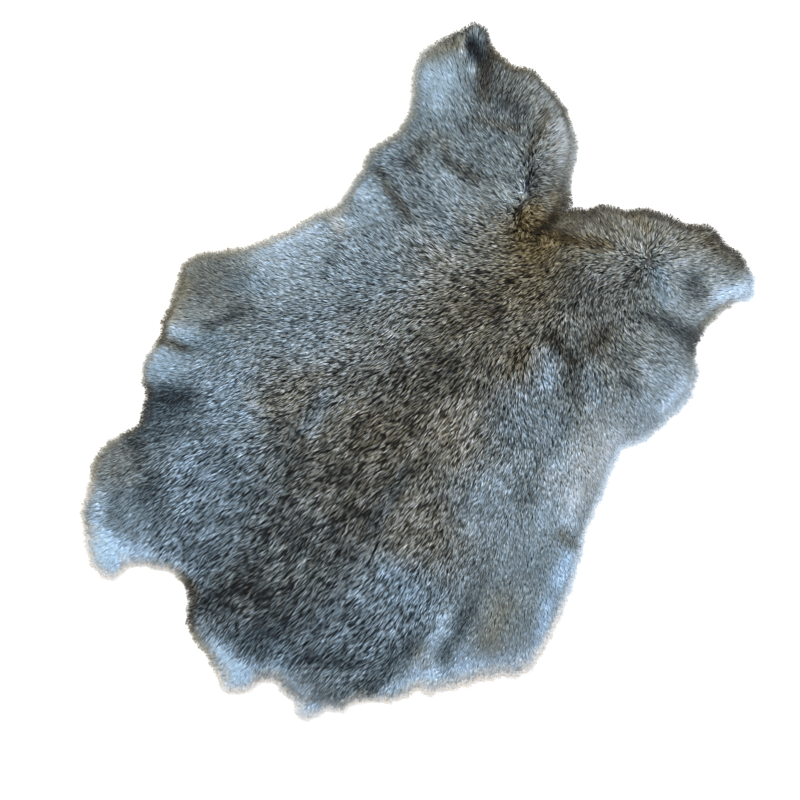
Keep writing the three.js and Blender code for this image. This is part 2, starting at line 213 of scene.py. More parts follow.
TINTS = [
    Tint("neck", 10, 122, 1.0, 0.4, 0.65),
    Tint("notch skin", 25, 142, 0.6, 0.51, 0.1),
    Tint("withers", 20, 98, 0.87, 0.36, 1.0),
    Tint("left of withers", -18, 92, 0.52, 0.445, 1.0),
    Tint("upper back", 5, 62, 0.69, 0.27, 1.2),
    Tint("upper back right", 34, 50, 0.66, 0.38, 1.0),
    Tint("middle back", 5, 15, 0.6, 0.13, 1.6),
    Tint("middle back right", 32, 0, 0.7, 0.47, 1.1),
    Tint("saddle", 5, -28, 0.7, 0.22, 1.55),
    Tint("loin", 8, -62, 0.56, 0.14, 1.6),
    Tint("loin right", 52, -60, 0.62, 0.44, 1.0),
    Tint("left loin", -52, -34, 0.58, 0.37, 1.05),
    Tint("left back", -28, 20, 0.44, 0.46, 1.0),
    Tint("croup", 5, -105, 0.36, 0.1, 1.75),
    Tint("rump", -8, -145, 0.38, 0.0, 1.75),
    Tint("tail root", 8, -166, 0.05, 0.11, 1.05),
    Tint("tail tab", 9, -188, 0.0, 1.1, 0.15),
    Tint("right croup", 62, -96, 0.04, 0.42, 1.15),
    Tint("right rump", 52, -130, 0.06, 0.32, 1.35),
    Tint("right tab", 56, -180, 0.2, 0.56, 0.1),
    Tint("right thigh", 102, -112, 0.04, 0.76, 0.3),
    Tint("right hip", 122, -76, 0.2, 0.62, 0.1),
    Tint("right belly", 118, -25, 0.12, 0.65, 0.1),
    Tint("right flank", 78, -22, 0.17, 0.66, 0.55),
    Tint("right waist", 116, 34, 0.43, 0.8, 0.05),
    Tint("right side", 66, 30, 0.14, 0.57, 0.65),
    Tint("right elbow", 124, 82, 0.18, 0.71, 0.25),
    Tint("right shoulder", 86, 92, 0.42, 0.46, 0.65),
    Tint("right neck", 58, 112, 0.46, 0.42, 0.7),
    Tint("right foreleg", 96, 148, 0.26, 0.71, 0.28),
    Tint("right foreleg root", 58, 148, 0.5, 0.56, 0.65),
    Tint("right foreleg top", 84, 176, 0.65, 0.54, 0.7),
    Tint("right foreleg tip", 130, 165, 0.35, 0.66, 0.1),
    Tint("left neck", -16, 138, 0.22, 0.56, 0.5),
    Tint("left shoulder", -52, 112, 0.14, 0.48, 0.7),
    Tint("left foreleg", -42, 160, 0.18, 0.465, 0.58),
    Tint("left foreleg top", -40, 194, 0.46, 0.565, 0.5),
    Tint("left foreleg brow", -4, 180, 0.5, 0.67, 0.3),
    Tint("left foreleg side", -88, 168, 0.0, 0.64, 0.0),
    Tint("left foreleg tip", -80, 198, 0.26, 0.37, 0.3),
    Tint("left waist", -84, 84, 0.08, 0.56, 0.35),
    Tint("left side", -62, 50, 0.12, 0.52, 0.72),
    Tint("left belly edge", -108, 36, 0.15, 0.75, 0.25),
    Tint("left belly corner", -134, -6, 0.43, 0.45, 0.2),
    Tint("left flank", -72, 0, 0.15, 0.58, 0.78),
    Tint("flank lobe", -126, -60, 0.0, 0.67, 0.12),
    Tint("above the lobe", -134, -34, 0.3, 0.65, 0.15),
    Tint("left hip", -84, -56, 0.03, 0.61, 0.85),
    # Its low light is painted shade on the lower side of the flank lobe's fold; its warmth and
    # banding are the coat's own
    Tint("below the lobe", -112, -86, 0.0, 0.36, 0.7),
    Tint("left thigh", -74, -104, 0.0, 0.455, 1.25),
    Tint("left knee", -120, -124, 0.4, 0.57, 0.4),
    Tint("left hind leg", -98, -150, 0.0, 0.49, 0.4),
    Tint("left hind tip", -88, -174, 0.0, 1.1, 0.05),
    Tint("left groin", -52, -142, 0.0, 0.36, 1.15),
]

MARKS = [
    # Painted shade in the crease under the flank lobe
    Mark("crease under the lobe", (-126, -84), (-107, -73), 7, -0.2),
    Mark("nick above the lobe", (-137, -50), (-122, -46), 2.5, -0.28, 0.4),
    Mark("above the nick", (-134, -41), (-124, -38), 4, 0.12, -0.1),
    Mark("cool spot above the lobe", (-121, -41), (-108, -32), 6, 0.0, -0.25),
    # Painted shade in the belly corner's pleat
    Mark("belly corner pleat", (-118, -28), (-103, -5), 3, -0.15),
    Mark("belly corner rim", (-144, -14), (-138, -34), 5, -0.04, 0.3),
    # Painted shade in the left waist crease
    Mark("left waist crease", (-86, 103), (-58, 91), 3.2, -0.2, 0.3),
    Mark("left waist pale rim", (-90, 66), (-82, 70), 5, 0.18),
    Mark("left belly cool spot", (-118, 2), (-108, 10), 8, 0.0, -0.22),
    Mark("left waist pale locks", (-86, 98), (-76, 92), 4, 0.2),
    # Painted light on the left waist swell
    Mark("left waist swell", (-88, 88), (-76, 82), 6, 0.14),
    Mark("left waist pale edge", (-95, 68), (-86, 62), 5, 0.06, 0.3),
    Mark("left belly pale edge", (-114, 36), (-100, 54), 6, 0.12),
    Mark("left waist shade", (-75, 130), (-72, 118), 5, -0.14, 0.2),
    Mark("left foreleg pale side", (-88, 186), (-80, 154), 6, 0.1),
    Mark("left foreleg pale rim", (-95, 170), (-93, 163), 4, 0.15),
    Mark("left foreleg tan edge", (-100, 178), (-90, 192), 6, -0.06, 0.4),
    Mark("pale lock by the tip", (-89, 196), (-84, 188), 2.2, 0.3),
    Mark("pale lock below the tip", (-77, 190), (-73, 184), 3, 0.36),
    # Painted shade in the hollow behind the tip, painted light on the knob of the tip, and painted
    # shade in the left foreleg's crease, hollow and folds
    Mark("hollow behind the tip", (-83, 197), (-77, 193), 4, -0.34, -0.2),
    Mark("knob of the tip", (-86, 203), (-82, 203), 3, 0.2),
    Mark("left foreleg crease", (-69, 196), (-61, 176), 5.5, -0.15, 0.3),
    Mark("left foreleg hollow", (-50, 184), (-36, 180), 7, -0.13),
    Mark("left foreleg brown fold", (-54, 162), (-33, 169), 3.5, -0.12, 0.25),
    Mark("left foreleg right fold", (-22, 187), (-19, 160), 4.5, -0.15, 0.15),
    Mark("left foreleg pale brow", (-12, 186), (-6, 182), 4, 0.14),
    Mark("left foreleg pale edge", (-2, 178), (2, 170), 4, 0.14),
    # Painted shade in the left shoulder crease and painted light on its swell
    Mark("left shoulder crease", (-56, 131), (-38, 131), 4, -0.16, 0.2),
    Mark("left shoulder swell", (-50, 119), (-32, 118), 6, 0.1),
    Mark("left shoulder tan", (-68, 138), (-62, 136), 5, 0.0, 0.2),
    # Painted light on the left neck swell, and painted shade in its dimple and in the notch crease
    Mark("left neck swell", (-7, 138), (-3, 137), 5, 0.14),
    Mark("left neck dimple", (-8, 152), (0, 144), 5, -0.16),
    Mark("notch crease", (17, 142), (13, 125), 2.5, -0.24, 0.3),
    Mark("notch warm rim", (9, 151), (12, 148), 4, 0.0, 0.25),
    Mark("notch bare skin", (24, 143), (20, 124), 4, 0.08, 0.1),
    Mark("brown of the neck", (4, 132), (14, 116), 9, -0.04, 0.4),
    Mark("right foreleg brown root", (24, 128), (47, 141), 4.5, -0.19, 0.3),
    # Painted shade in the right foreleg dimple
    Mark("right foreleg dimple", (104, 154), (110, 151), 6, -0.26),
    Mark("right foreleg pale tip", (126, 156), (134, 165), 7, 0.36, -0.2),
    Mark("right foreleg root shade", (42, 153), (50, 153), 5, -0.15, 0.1),
    Mark("right foreleg brown brow", (50, 166), (62, 165), 5, -0.04, 0.25),
    # Painted light on the right foreleg swell
    Mark("right foreleg pale swell", (96, 165), (102, 163), 5, 0.1),
    Mark("right foreleg dark brow", (99, 179), (120, 177), 6, -0.22, 0.2),
    Mark("right whorl", (83, 145), (94, 134), 5, -0.08, -0.25),
    # Painted shade beside the right whorl, in the right foreleg crease and beside it
    Mark("right whorl shade", (76, 134), (72, 132), 4, -0.14),
    Mark("right foreleg crease", (125, 127), (108, 124), 6, -0.26),
    Mark("right foreleg shade", (98, 122), (88, 118), 6, -0.12),
    Mark("right elbow rim", (136, 102), (134, 82), 5, 0.2),
    # Painted shade in the right elbow and shoulder dimples, in the shoulder crease and along its
    # tail
    Mark("right elbow dimple", (112, 81), (106, 80), 5, -0.2),
    Mark("right shoulder dimple", (80, 97), (77, 88), 6, -0.16, 0.2),
    Mark("right shoulder crease", (52, 77), (72, 74), 4, -0.2, 0.1),
    Mark("right shoulder tail", (74, 72), (84, 58), 4.5, -0.14),
    # Painted light on the right neck swell
    Mark("right neck swell", (52, 119), (56, 118), 5, 0.14),
    Mark("right shoulder cool edge", (86, 71), (94, 63), 7, 0.0, -0.2),
    Mark("right shoulder cool spot", (59, 66), (66, 56), 7, 0.07, -0.3),
    Mark("right side cool edge", (90, 38), (98, 20), 8, 0.02, -0.15),
    Mark("right side warm spot", (40, 60), (46, 54), 6, -0.06, 0.2),
    Mark("right flank pale patch", (117, 8), (122, -4), 7, 0.22, 0.08),
    Mark("right flank pale streak", (96, 16), (98, 8), 6, 0.14),
    Mark("right belly pale streak", (106, -6), (109, -12), 6, 0.13),
    # Painted shade along the right flank groove
    Mark("right flank groove", (93, 46), (92, -14), 9, -0.06),
    Mark("right waist pale edge", (118, 56), (126, 30), 6, 0.1),
    Mark("right belly upper pale rim", (136, -22), (138, -37), 6.5, 0.24, -0.2),
    Mark("right belly lower pale rim", (140, -52), (149, -72), 6.5, 0.2, -0.2),
    Mark("right belly shade", (124, -14), (134, -15), 4, -0.14, 0.2),
    Mark("right hip rim", (148, -84), (120, -112), 7.5, 0.2),
    Mark("right hip warm spot", (117, -68), (121, -88), 9, -0.03, 0.27),
    # Painted shade in the right hip groove and painted light on the ridge beside it
    Mark("right hip groove", (101, -80), (106, -112), 6, -0.2),
    Mark("right hip ridge", (93, -90), (95, -122), 4.5, 0.1),
    Mark("right thigh rim", (106, -124), (90, -147), 6, 0.22),
    # Painted shade in the right thigh groove
    Mark("right thigh groove", (87, -112), (78, -150), 8, -0.14),
    Mark("rump spot", (28, -136), (32, -141), 5, -0.18),
    Mark("right thigh warm spot", (92, -117), (97, -121), 6, 0.0, 0.25),
    Mark("rump pale spot", (9, -119), (13, -122), 5, 0.16),
    Mark("right thigh dark spot", (89, -120), (94, -122), 5, -0.15),
    # Painted shade in the rump crease
    Mark("rump crease", (57, -147), (42, -154), 6, -0.22),
    Mark("right tail rim", (24, -172), (48, -174), 5, 0.22),
    Mark("right tab tip", (50, -186), (60, -181), 5, 0.4, -0.1),
    Mark("right of the tail", (22, -162), (30, -165), 5, 0.18, -0.3),
    Mark("tail tab shade", (-5, -173), (4, -176), 6, -0.2),
    Mark("tail root shade", (-14, -138), (-22, -160), 10, -0.1),
    Mark("left tail rim", (-28, -176), (-8, -184), 4, 0.22),
    Mark("groin rim", (-72, -160), (-46, -152), 3.5, 0.2),
    Mark("groin shade", (-44, -146), (-39, -149), 5, -0.16),
    Mark("left thigh dark spot", (-96, -130), (-94, -133), 5, -0.16),
    Mark("left thigh upper spot", (-71, -89), (-57, -87), 5, -0.15),
    Mark("left hip pale spot", (-91, -34), (-87, -35), 6, 0.14),
    # Painted shade in the left thigh hollow
    Mark("left thigh hollow", (-92, -122), (-78, -134), 7, -0.14),
    Mark("left knee shade", (-116, -109), (-108, -115), 6, -0.2),
    Mark("left knee rim", (-118, -144), (-104, -166), 6, 0.14),
    Mark("left hind pale side", (-113, -148), (-110, -156), 6, 0.16),
    Mark("left hind pale tip", (-98, -168), (-86, -173), 8, 0.3, -0.1),
    Mark("tail tab pale tip", (-3, -180), (10, -188), 7, 0.25, -0.1),
    Mark("back stripe", (25, -34), (28, -68), 5, -0.1, -0.2),
    Mark("middle back pale streak", (42, -2), (46, -6), 5, 0.14),
    Mark("left back spot", (-32, -56), (-28, -72), 6, -0.14),
    Mark("middle back shade", (4, 30), (8, -6), 9, -0.04),
    Mark("loin pale patch", (46, -88), (78, -91), 8, 0.08, -0.1),
    Mark("left back dark spot", (-54, -58), (-50, -62), 5, -0.17),
    Mark("left flank warm spot", (-74, -48), (-66, -48), 7, 0.0, 0.22),
    Mark("left shoulder cool spot", (-34, 96), (-28, 96), 7, 0.0, -0.25),
    Mark("left back pale spot", (-38, -24), (-36, -44), 6, 0.08, -0.3),
]

RIM_TINTS = [
    RimTint("left foreleg side", -96, 168, 0.65, 0.84),
    RimTint("left foreleg tip", -82, 207, 0.6, 0.4),
    RimTint("behind the tip", -64, 200, 0.9, 0.5),
    RimTint("left foreleg brow", -20, 196, 0.65, 0.58),
    RimTint("left foreleg edge", 3, 180, 0.5, 0.78),
    RimTint("left neck", 9, 164, 0.5, 0.72),
    RimTint("neck notch", 20, 148, 0.8, 0.32),
    RimTint("right foreleg top", 68, 177, 0.75, 0.36),
    RimTint("right foreleg brow", 112, 181, 0.75, 0.36),
    RimTint("right foreleg tip", 136, 168, 0.2, 0.95),
    RimTint("right foreleg pit", 126, 146, 0.7, 0.75),
    RimTint("right elbow pit", 125, 124, 0.5, 0.35),
    RimTint("right elbow upper", 134, 112, 0.4, 0.85),
    RimTint("right elbow", 138, 92, 0.3, 0.9),
    RimTint("right waist", 125, 42, 0.3, 0.96),
    RimTint("right belly", 138, -15, 0.35, 0.98),
    RimTint("right hip", 152, -76, 0.8, 1.1),
    RimTint("right thigh", 117, -126, 0.85, 1.12),
    RimTint("right rump", 85, -154, 0.85, 1.05),
    RimTint("right tab", 58, -185, 0.7, 1.1),
    RimTint("tail root", 33, -178, 0.8, 1.0),
    RimTint("tail tab", 12, -197, 0.85, 1.08),
    RimTint("left rump", -12, -184, 0.75, 0.7),
    RimTint("groin", -36, -166, 0.9, 0.16),
    RimTint("left hind hollow", -60, -160, 0.85, 0.98),
    RimTint("left hind tip", -92, -181, 0.85, 1.05),
    RimTint("left hind side", -119, -152, 0.85, 0.95),
    RimTint("left knee", -127, -122, 0.75, 0.7),
    RimTint("under the lobe", -120, -90, 0.8, 0.28),
    RimTint("flank lobe", -136, -60, 0.6, 0.9),
    RimTint("nick above the lobe", -137, -47, 0.85, 0.5),
    RimTint("belly corner", -148, -10, 0.75, 0.74),
    RimTint("left belly", -118, 32, 0.75, 0.82),
    RimTint("left waist", -94, 80, 0.7, 0.82),
    RimTint("left shoulder", -91, 116, 0.7, 0.74),
]


class HairKind(Enum):
    """How a hair is coloured along its length. The value is its row in the hair palette."""

    BANDED = 0
    DARK = 1
    SOFT = 2
    PLAIN = 3


def deselect_all() -> None:
    """Leaves nothing selected, so that an operator acts on its own piece alone."""
    if bpy.context.object and bpy.context.object.mode != "OBJECT":
        bpy.ops.object.mode_set(mode="OBJECT")
    bpy.ops.object.select_all(action="DESELECT")


def linear(hex_colour: str) -> tuple[float, float, float, float]:
    """Turns an sRGB hex colour such as "#7f8c99" to linear RGBA, by the sRGB curve.

    Args:
        hex_colour: Six hex digits after a hash.

    Returns:
        Linear red, green and blue, with an alpha of 1.
    """
    channels = [int(hex_colour[i : i + 2], 16) / 255 for i in (1, 3, 5)]
    lin = [c / 12.92 if c <= 0.04045 else ((c + 0.055) / 1.055) ** 2.4 for c in channels]
    return (*lin, 1.0)


def add_node(
    tree: bpy.types.NodeTree,
    kind: str,
    settings: dict[str, object] | None = None,
    links: dict[str | int, bpy.types.NodeSocket | float | tuple] | None = None,
) -> bpy.types.Node:
    """Adds one node with its settings and what goes into its sockets.

    Args:
        tree: The material's node tree.
        kind: The node's type, such as "ShaderNodeMath".
        settings: Values of the node's own properties.
        links: For each input's name or number, a socket to link or a value to set.

    Returns:
        The new node.
    """
    node = tree.nodes.new(kind)
    for name, value in (settings or {}).items():
        setattr(node, name, value)
    for key, value in (links or {}).items():
        if isinstance(value, bpy.types.NodeSocket):
            tree.links.new(value, node.inputs[key])
        else:
            node.inputs[key].default_value = value
    return node


def calculated(
    tree: bpy.types.NodeTree,
    operation: str,
    *values: bpy.types.NodeSocket | float,
) -> bpy.types.NodeSocket:
    """Adds one Math node.

    Args:
        tree: The material's node tree.
        operation: The node's operation, such as "ADD".
        values: What goes into its inputs, in order.

    Returns:
        The node's output.
    """
    links = dict(enumerate(values))
    return add_node(tree, "ShaderNodeMath", {"operation": operation}, links).outputs[0]


def ramped(
    tree: bpy.types.NodeTree,
    factor: bpy.types.NodeSocket,
    stops: Sequence[tuple[float, tuple]],
) -> bpy.types.NodeSocket:
    """Adds a colour ramp.

    Args:
        tree: The material's node tree.
        factor: What runs along the ramp.
        stops: Place and linear colour of each stop, in order.

    Returns:
        The ramp's colour.
    """
    node = add_node(tree, "ShaderNodeValToRGB", links={0: factor})
    elements = node.color_ramp.elements
    anywhere = 0.5
    while len(elements) < len(stops):
        elements.new(anywhere)
    for element, (position, colour) in zip(elements, stops):
        element.position = position
        element.color = colour
    return node.outputs[0]


def toned(
    tree: bpy.types.NodeTree,
    factor: bpy.types.NodeSocket,
    tones: Sequence[tuple[float, str]],
) -> bpy.types.NodeSocket:
    """Adds a colour ramp from places and sRGB hex colours."""
    return ramped(tree, factor, [(position, linear(colour)) for position, colour in tones])


def mixed(
    tree: bpy.types.NodeTree,
    factor: bpy.types.NodeSocket,
    first: bpy.types.NodeSocket,
    second: bpy.types.NodeSocket,
) -> bpy.types.NodeSocket:
    """Adds a node that mixes two colours.

    Args:
        tree: The material's node tree.
        factor: Share of the second colour.
        first: The first colour.
        second: The second colour.

    Returns:
        The mixed colour.
    """
    # The node's inputs 6 and 7 and its output 2 are the ones for colours
    links = {"Factor": factor, 6: first, 7: second}
    return add_node(tree, "ShaderNodeMix", {"data_type": "RGBA"}, links).outputs[2]


def noise(
    tree: bpy.types.NodeTree,
    place: bpy.types.NodeSocket,
    size: float,
    detail: float,
) -> bpy.types.NodeSocket:
    """Adds a noise texture of a real size.

    Args:
        tree: The material's node tree.
        place: The coordinates it is laid on, in metres.
        size: Distance from one cloud to the next, in mm.
        detail: How many finer layers it has.

    Returns:
        The noise, from 0 to 1.
    """
    links = {"Vector": place, "Scale": 1 / (size * MM), "Detail": detail}
    return add_node(tree, "ShaderNodeTexNoise", links=links).outputs[0]


def blank_material(
    name: str, roughness: float, specular: float
) -> tuple[bpy.types.Material, bpy.types.Node]:
    """Makes a node material with its Principled shader.

    Args:
        name: What the material is and how it was made.
        roughness: The surface's roughness.
        specular: How strongly it mirrors light, 0.5 for common plastics and glass.

    Returns:
        The material and its Principled node.
    """
    material = bpy.data.materials.new(name)
    material.use_nodes = True
    shader = material.node_tree.nodes["Principled BSDF"]
    shader.inputs["Roughness"].default_value = roughness
    shader.inputs["Specular IOR Level"].default_value = specular
    return material, shader


def read_places(mesh: bpy.types.Mesh) -> np.ndarray:
    """Reads where a mesh's points are.

    Args:
        mesh: The mesh.

    Returns:
        A row for each point, in mm.
    """
    places = np.empty(len(mesh.vertices) * 3)
    mesh.vertices.foreach_get("co", places)
    return places.reshape(-1, 3) / MM


def write_places(mesh: bpy.types.Mesh, places: np.ndarray) -> None:
    """Moves a mesh's points.

    Args:
        mesh: The mesh.
        places: A row for each point, in mm.
    """
    mesh.vertices.foreach_set("co", (places * MM).ravel())
    mesh.update()


@dataclass(frozen=True)
class Patches:
    """Soft random patches: how far apart they are in mm, how strong, and which ones."""

    size: float
    strength: float
    seed: int


class Relief:
    """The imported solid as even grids: its top, its underside and the distance in from its rim."""

    # From one grid point to the next, round the pelt, and from the pelt to the rays' start, in mm
    STEP = 1.0
    MARGIN = 10.0
    RAY_START = 100.0
    # Points of the solid that are closer than this are one, in metres
    WELD = 1e-6
    # Height of the pelt's cut edge, which stands for the top and the underside beyond it
    EDGE_HEIGHT = 1.6
    # How many times the rim's distance is softened, and once more before its slope is taken
    RIM_PASSES = 4
    SLOPE_PASSES = 3
    # A slope less steep than this has no way of its own
    LEVEL = 1e-6
    # Steps that a place past the grid's last row is taken back, so that it has a next row
    BACK_INSIDE = 1.001
    # How far the hair hangs out past the solid's rim
    OVERHANG = 0.4

    def __init__(self, node: bpy.types.Object) -> None:
        """Casts rays through the solid and measures every grid point's distance to the rim.

        Args:
            node: The solid's object in the frame.
        """
        low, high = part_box(NODE)
        self.low = np.array(low[:2]) / MM - self.MARGIN
        span = np.array(high[:2]) / MM + self.MARGIN - self.low
        self.shape = tuple(int(n) for n in np.ceil(span[::-1] / self.STEP) + 1)
        self.xs = self.low[0] + self.STEP * np.arange(self.shape[1])
        self.ys = self.low[1] + self.STEP * np.arange(self.shape[0])
        self.grid_x, self.grid_y = np.meshgrid(self.xs, self.ys)
        solid = bmesh.new()
        solid.from_mesh(node.data)
        bmesh.ops.remove_doubles(solid, verts=solid.verts, dist=self.WELD)
        tree = BVHTree.FromBMesh(solid)
        top = self._cast(tree, high[2] + self.RAY_START * MM, -1.0)
        under = self._cast(tree, low[2] - self.RAY_START * MM, 1.0)
        inside = np.isfinite(top)
        self.top = self.softened(np.where(inside, top, self.EDGE_HEIGHT))
        self.under = np.where(inside, under, self.EDGE_HEIGHT)
        rim = self._distance_to_rim(solid) * np.where(inside, 1, -1)
        self.rim = self.softened(rim, self.RIM_PASSES) + self.OVERHANG
        solid.free()
        slope_y, slope_x = np.gradient(self.softened(self.rim, self.SLOPE_PASSES), self.STEP)
        steep = np.maximum(np.hypot(slope_x, slope_y), self.LEVEL)
        self.outward_x = -slope_x / steep
        self.outward_y = -slope_y / steep

    def _cast(self, tree: BVHTree, from_z: float, way: float) -> np.ndarray:
        """Finds where a ray from each grid point meets the solid.

        Args:
            tree: The solid's search tree.
            from_z: Height at which the rays start, in metres.
            way: 1 for rays that go up, -1 for rays that go down.

        Returns:
            Heights in mm, and nan where a ray passes the solid.
        """
        aim = Vector((0, 0, way))
        heights = np.full(self.shape, np.nan)
        for j, y in enumerate(self.ys):
            for i, x in enumerate(self.xs):
                hit = tree.ray_cast(Vector((x * MM, y * MM, from_z)), aim)[0]
                if hit is not None:
                    heights[j, i] = hit.z / MM
        return heights

    def softened(self, grid: np.ndarray, passes: int = 2) -> np.ndarray:
        """Averages a grid with its neighbours, which hides the solid's facets.

        A point keeps half of its own value and takes an eighth of each of its four neighbours'.

        Args:
            grid: One of the relief's grids.
            passes: How many times it is averaged.

        Returns:
            The softened grid.
        """
        for _ in range(passes):
            edge = np.pad(grid, 1, mode="edge")
            beside = edge[1:-1, :-2] + edge[1:-1, 2:] + edge[:-2, 1:-1] + edge[2:, 1:-1]
            grid = grid / 2 + beside / 8
        return grid

    def _distance_to_rim(self, solid: bmesh.types.BMesh) -> np.ndarray:
        """Measures how far each grid point is from the edge between top and underside.

        Args:
            solid: The solid's mesh.

        Returns:
            Distances in mm.
        """
        starts, ends = [], []
        for edge in solid.edges:
            up = [face.normal.z > 0 for face in edge.link_faces]
            if len(up) == 2 and up[0] != up[1]:
                starts.append([c / MM for c in edge.verts[0].co[:2]])
                ends.append([c / MM for c in edge.verts[1].co[:2]])
        nearest = np.full(self.shape, np.inf)
        for (ax, ay), (bx, by) in zip(starts, ends):
            dx, dy = bx - ax, by - ay
            along = (self.grid_x - ax) * dx + (self.grid_y - ay) * dy
            share = np.clip(along / (dx * dx + dy * dy), 0, 1)
            away = (self.grid_x - ax - share * dx) ** 2 + (self.grid_y - ay - share * dy) ** 2
            np.minimum(nearest, away, out=nearest)
        return np.sqrt(nearest)

    def at(self, grid: np.ndarray, x: np.ndarray, y: np.ndarray) -> np.ndarray:
        """Reads a grid between its points.

        Args:
            grid: One of the relief's grids.
            x: Places across, in mm.
            y: Places along, in mm.

        Returns:
            The grid's value at each place.
        """
        last_row, last_column = (count - self.BACK_INSIDE for count in self.shape)
        across = np.clip((x - self.low[0]) / self.STEP, 0, last_column)
        along = np.clip((y - self.low[1]) / self.STEP, 0, last_row)
        i, j = across.astype(int), along.astype(int)
        u, v = across - i, along - j
        near = grid[j, i] * (1 - u) + grid[j, i + 1] * u
        far = grid[j + 1, i] * (1 - u) + grid[j + 1, i + 1] * u
        return near * (1 - v) + far * v

    def patches(self, kind: Patches) -> np.ndarray:
        """Spreads soft random patches over the grid.

        Args:
            kind: Their size, strength and seed.

        Returns:
            A grid of values from about minus the strength to the strength.
        """
        across = (self.grid_x - self.low[0]) / kind.size
        along = (self.grid_y - self.low[1]) / kind.size
        i, j = across.astype(int), along.astype(int)
        knots = np.random.default_rng(kind.seed).uniform(-1, 1, (j.max() + 2, i.max() + 2))
        u, v = across - i, along - j
        # Eased at both ends, so that no edge shows between patches
        u, v = u * u * (3 - 2 * u), v * v * (3 - 2 * v)
        near = knots[j, i] * (1 - u) + knots[j, i + 1] * u
        far = knots[j + 1, i] * (1 - u) + knots[j + 1, i + 1] * u
        return (near * (1 - v) + far * v) * kind.strength


class CoatMap:
    """The coat's combing and colours over the whole skin, spread from the tables' places."""

    # Square of the distance in mm within which a place of a table is even
    COMB_SOFTNESS = 120.0
    TINT_SOFTNESS = 260.0
    # Hollows of the relief get a little painted shade and its ridges a little painted light, for
    # each mm of depth
    HOLLOW_PASSES = 100
    HOLLOW_SHADE = 0.05
    HOLLOW_LIMIT = 2.5
    # Clumps of the coat, and the dark partings between larger clumps, as shifts of light
    MOTTLES = (Patches(5, 0.08, 31), Patches(17, 0.05, 32))
    PARTINGS = Patches(10, 1.0, 33)
    PARTING_WIDTH = 0.3
    PARTING_SHADE = 0.09
    # Banded hair shows its pale bands, but where it is densest, on the back, its dark tips
    TICK_LIFT = 0.014
    BACK_DROP = 0.15
    # The rim's own colours: as above, how far in from the rim they reach, and their share there
    RIM_SOFTNESS = 40.0
    RIM_REACH = 1.8
    RIM_SHARE = 0.7

    def __init__(self, relief: Relief) -> None:
        """Blends the tables over the relief's grid.

        Args:
            relief: The pelt's relief.
        """
        self.relief = relief
        self.x = relief.grid_x + TABLE_MIDDLE[0]
        self.y = relief.grid_y + TABLE_MIDDLE[1]
        headings = [math.radians(combing.heading) for combing in COMBINGS]
        turns = [(math.sin(heading), math.cos(heading)) for heading in headings]
        self.comb_x, self.comb_y = self._spread(COMBINGS, turns, self.COMB_SOFTNESS)
        self.order = np.hypot(self.comb_x, self.comb_y)
        values = [(t.warm, t.light, t.tick) for t in TINTS]
        self.warm, self.light, self.tick = self._spread(TINTS, values, self.TINT_SOFTNESS)
        for mark in MARKS:
            strength = np.exp(-((self._away(mark) / mark.reach) ** 2))
            self.light = self.light + mark.light * strength
            self.warm = self.warm + mark.warm * strength
        # Painted shade and light: how far the top lies below or above its softened form
        depth = relief.top - relief.softened(relief.top, self.HOLLOW_PASSES)
        depth = np.clip(depth, -self.HOLLOW_LIMIT, self.HOLLOW_LIMIT)
        self.light = self.light + depth * self.HOLLOW_SHADE + self._mottle() * self.tick
        self.light -= self.BACK_DROP * np.maximum(self.tick - 1, 0) ** 2
        edges = [(t.warm, t.light) for t in RIM_TINTS]
        self.rim_warm, self.rim_light = self._spread(RIM_TINTS, edges, self.RIM_SOFTNESS)
        blend = self.RIM_SHARE * np.exp(-((np.maximum(relief.rim, 0) / self.RIM_REACH) ** 2))
        self.light = self.light + (self.rim_light - self.light) * blend
        self.warm = self.warm + (self.rim_warm - self.warm) * blend

    def _mottle(self) -> np.ndarray:
        """Shifts the light clump by clump, as ticked hair parts and gathers.

        Returns:
            A grid of shifts, for a tick of 1.
        """
        clumps = sum(self.relief.patches(kind) for kind in self.MOTTLES)
        from_parting = np.abs(self.relief.patches(self.PARTINGS))
        parting = np.clip(1 - from_parting / self.PARTING_WIDTH, 0, 1)
        return clumps - self.PARTING_SHADE * parting + self.TICK_LIFT

    def _spread(
        self, places: Sequence, values: Sequence[tuple], softness: float
    ) -> list[np.ndarray]:
        """Spreads values from their places, each place weighing most near itself.

        Args:
            places: Rows of a table, with x and y.
            values: What each row says, one or more numbers.
            softness: Square of the distance in mm within which a place is even.

        Returns:
            A grid for each number of a row.
        """
        total = np.zeros(self.relief.shape)
        sums = [np.zeros(self.relief.shape) for _ in values[0]]
        for place, row in zip(places, values):
            away = (self.x - place.x) ** 2 + (self.y - place.y) ** 2
            weight = 1 / (away + softness) ** 2
            total += weight
            for grid, value in zip(sums, row):
                grid += weight * value
        return [grid / total for grid in sums]

    def _away(self, mark: Mark) -> np.ndarray:
        """Measures how far each grid point is from a mark's line.

        Args:
            mark: A streak of the coat.

        Returns:
            Distances in mm.
        """
        (ax, ay), (bx, by) = mark.start, mark.end
        dx, dy = bx - ax, by - ay
        share = ((self.x - ax) * dx + (self.y - ay) * dy) / (dx * dx + dy * dy)
        share = np.clip(share, 0, 1)
        return np.hypot(self.x - ax - share * dx, self.y - ay - share * dy)


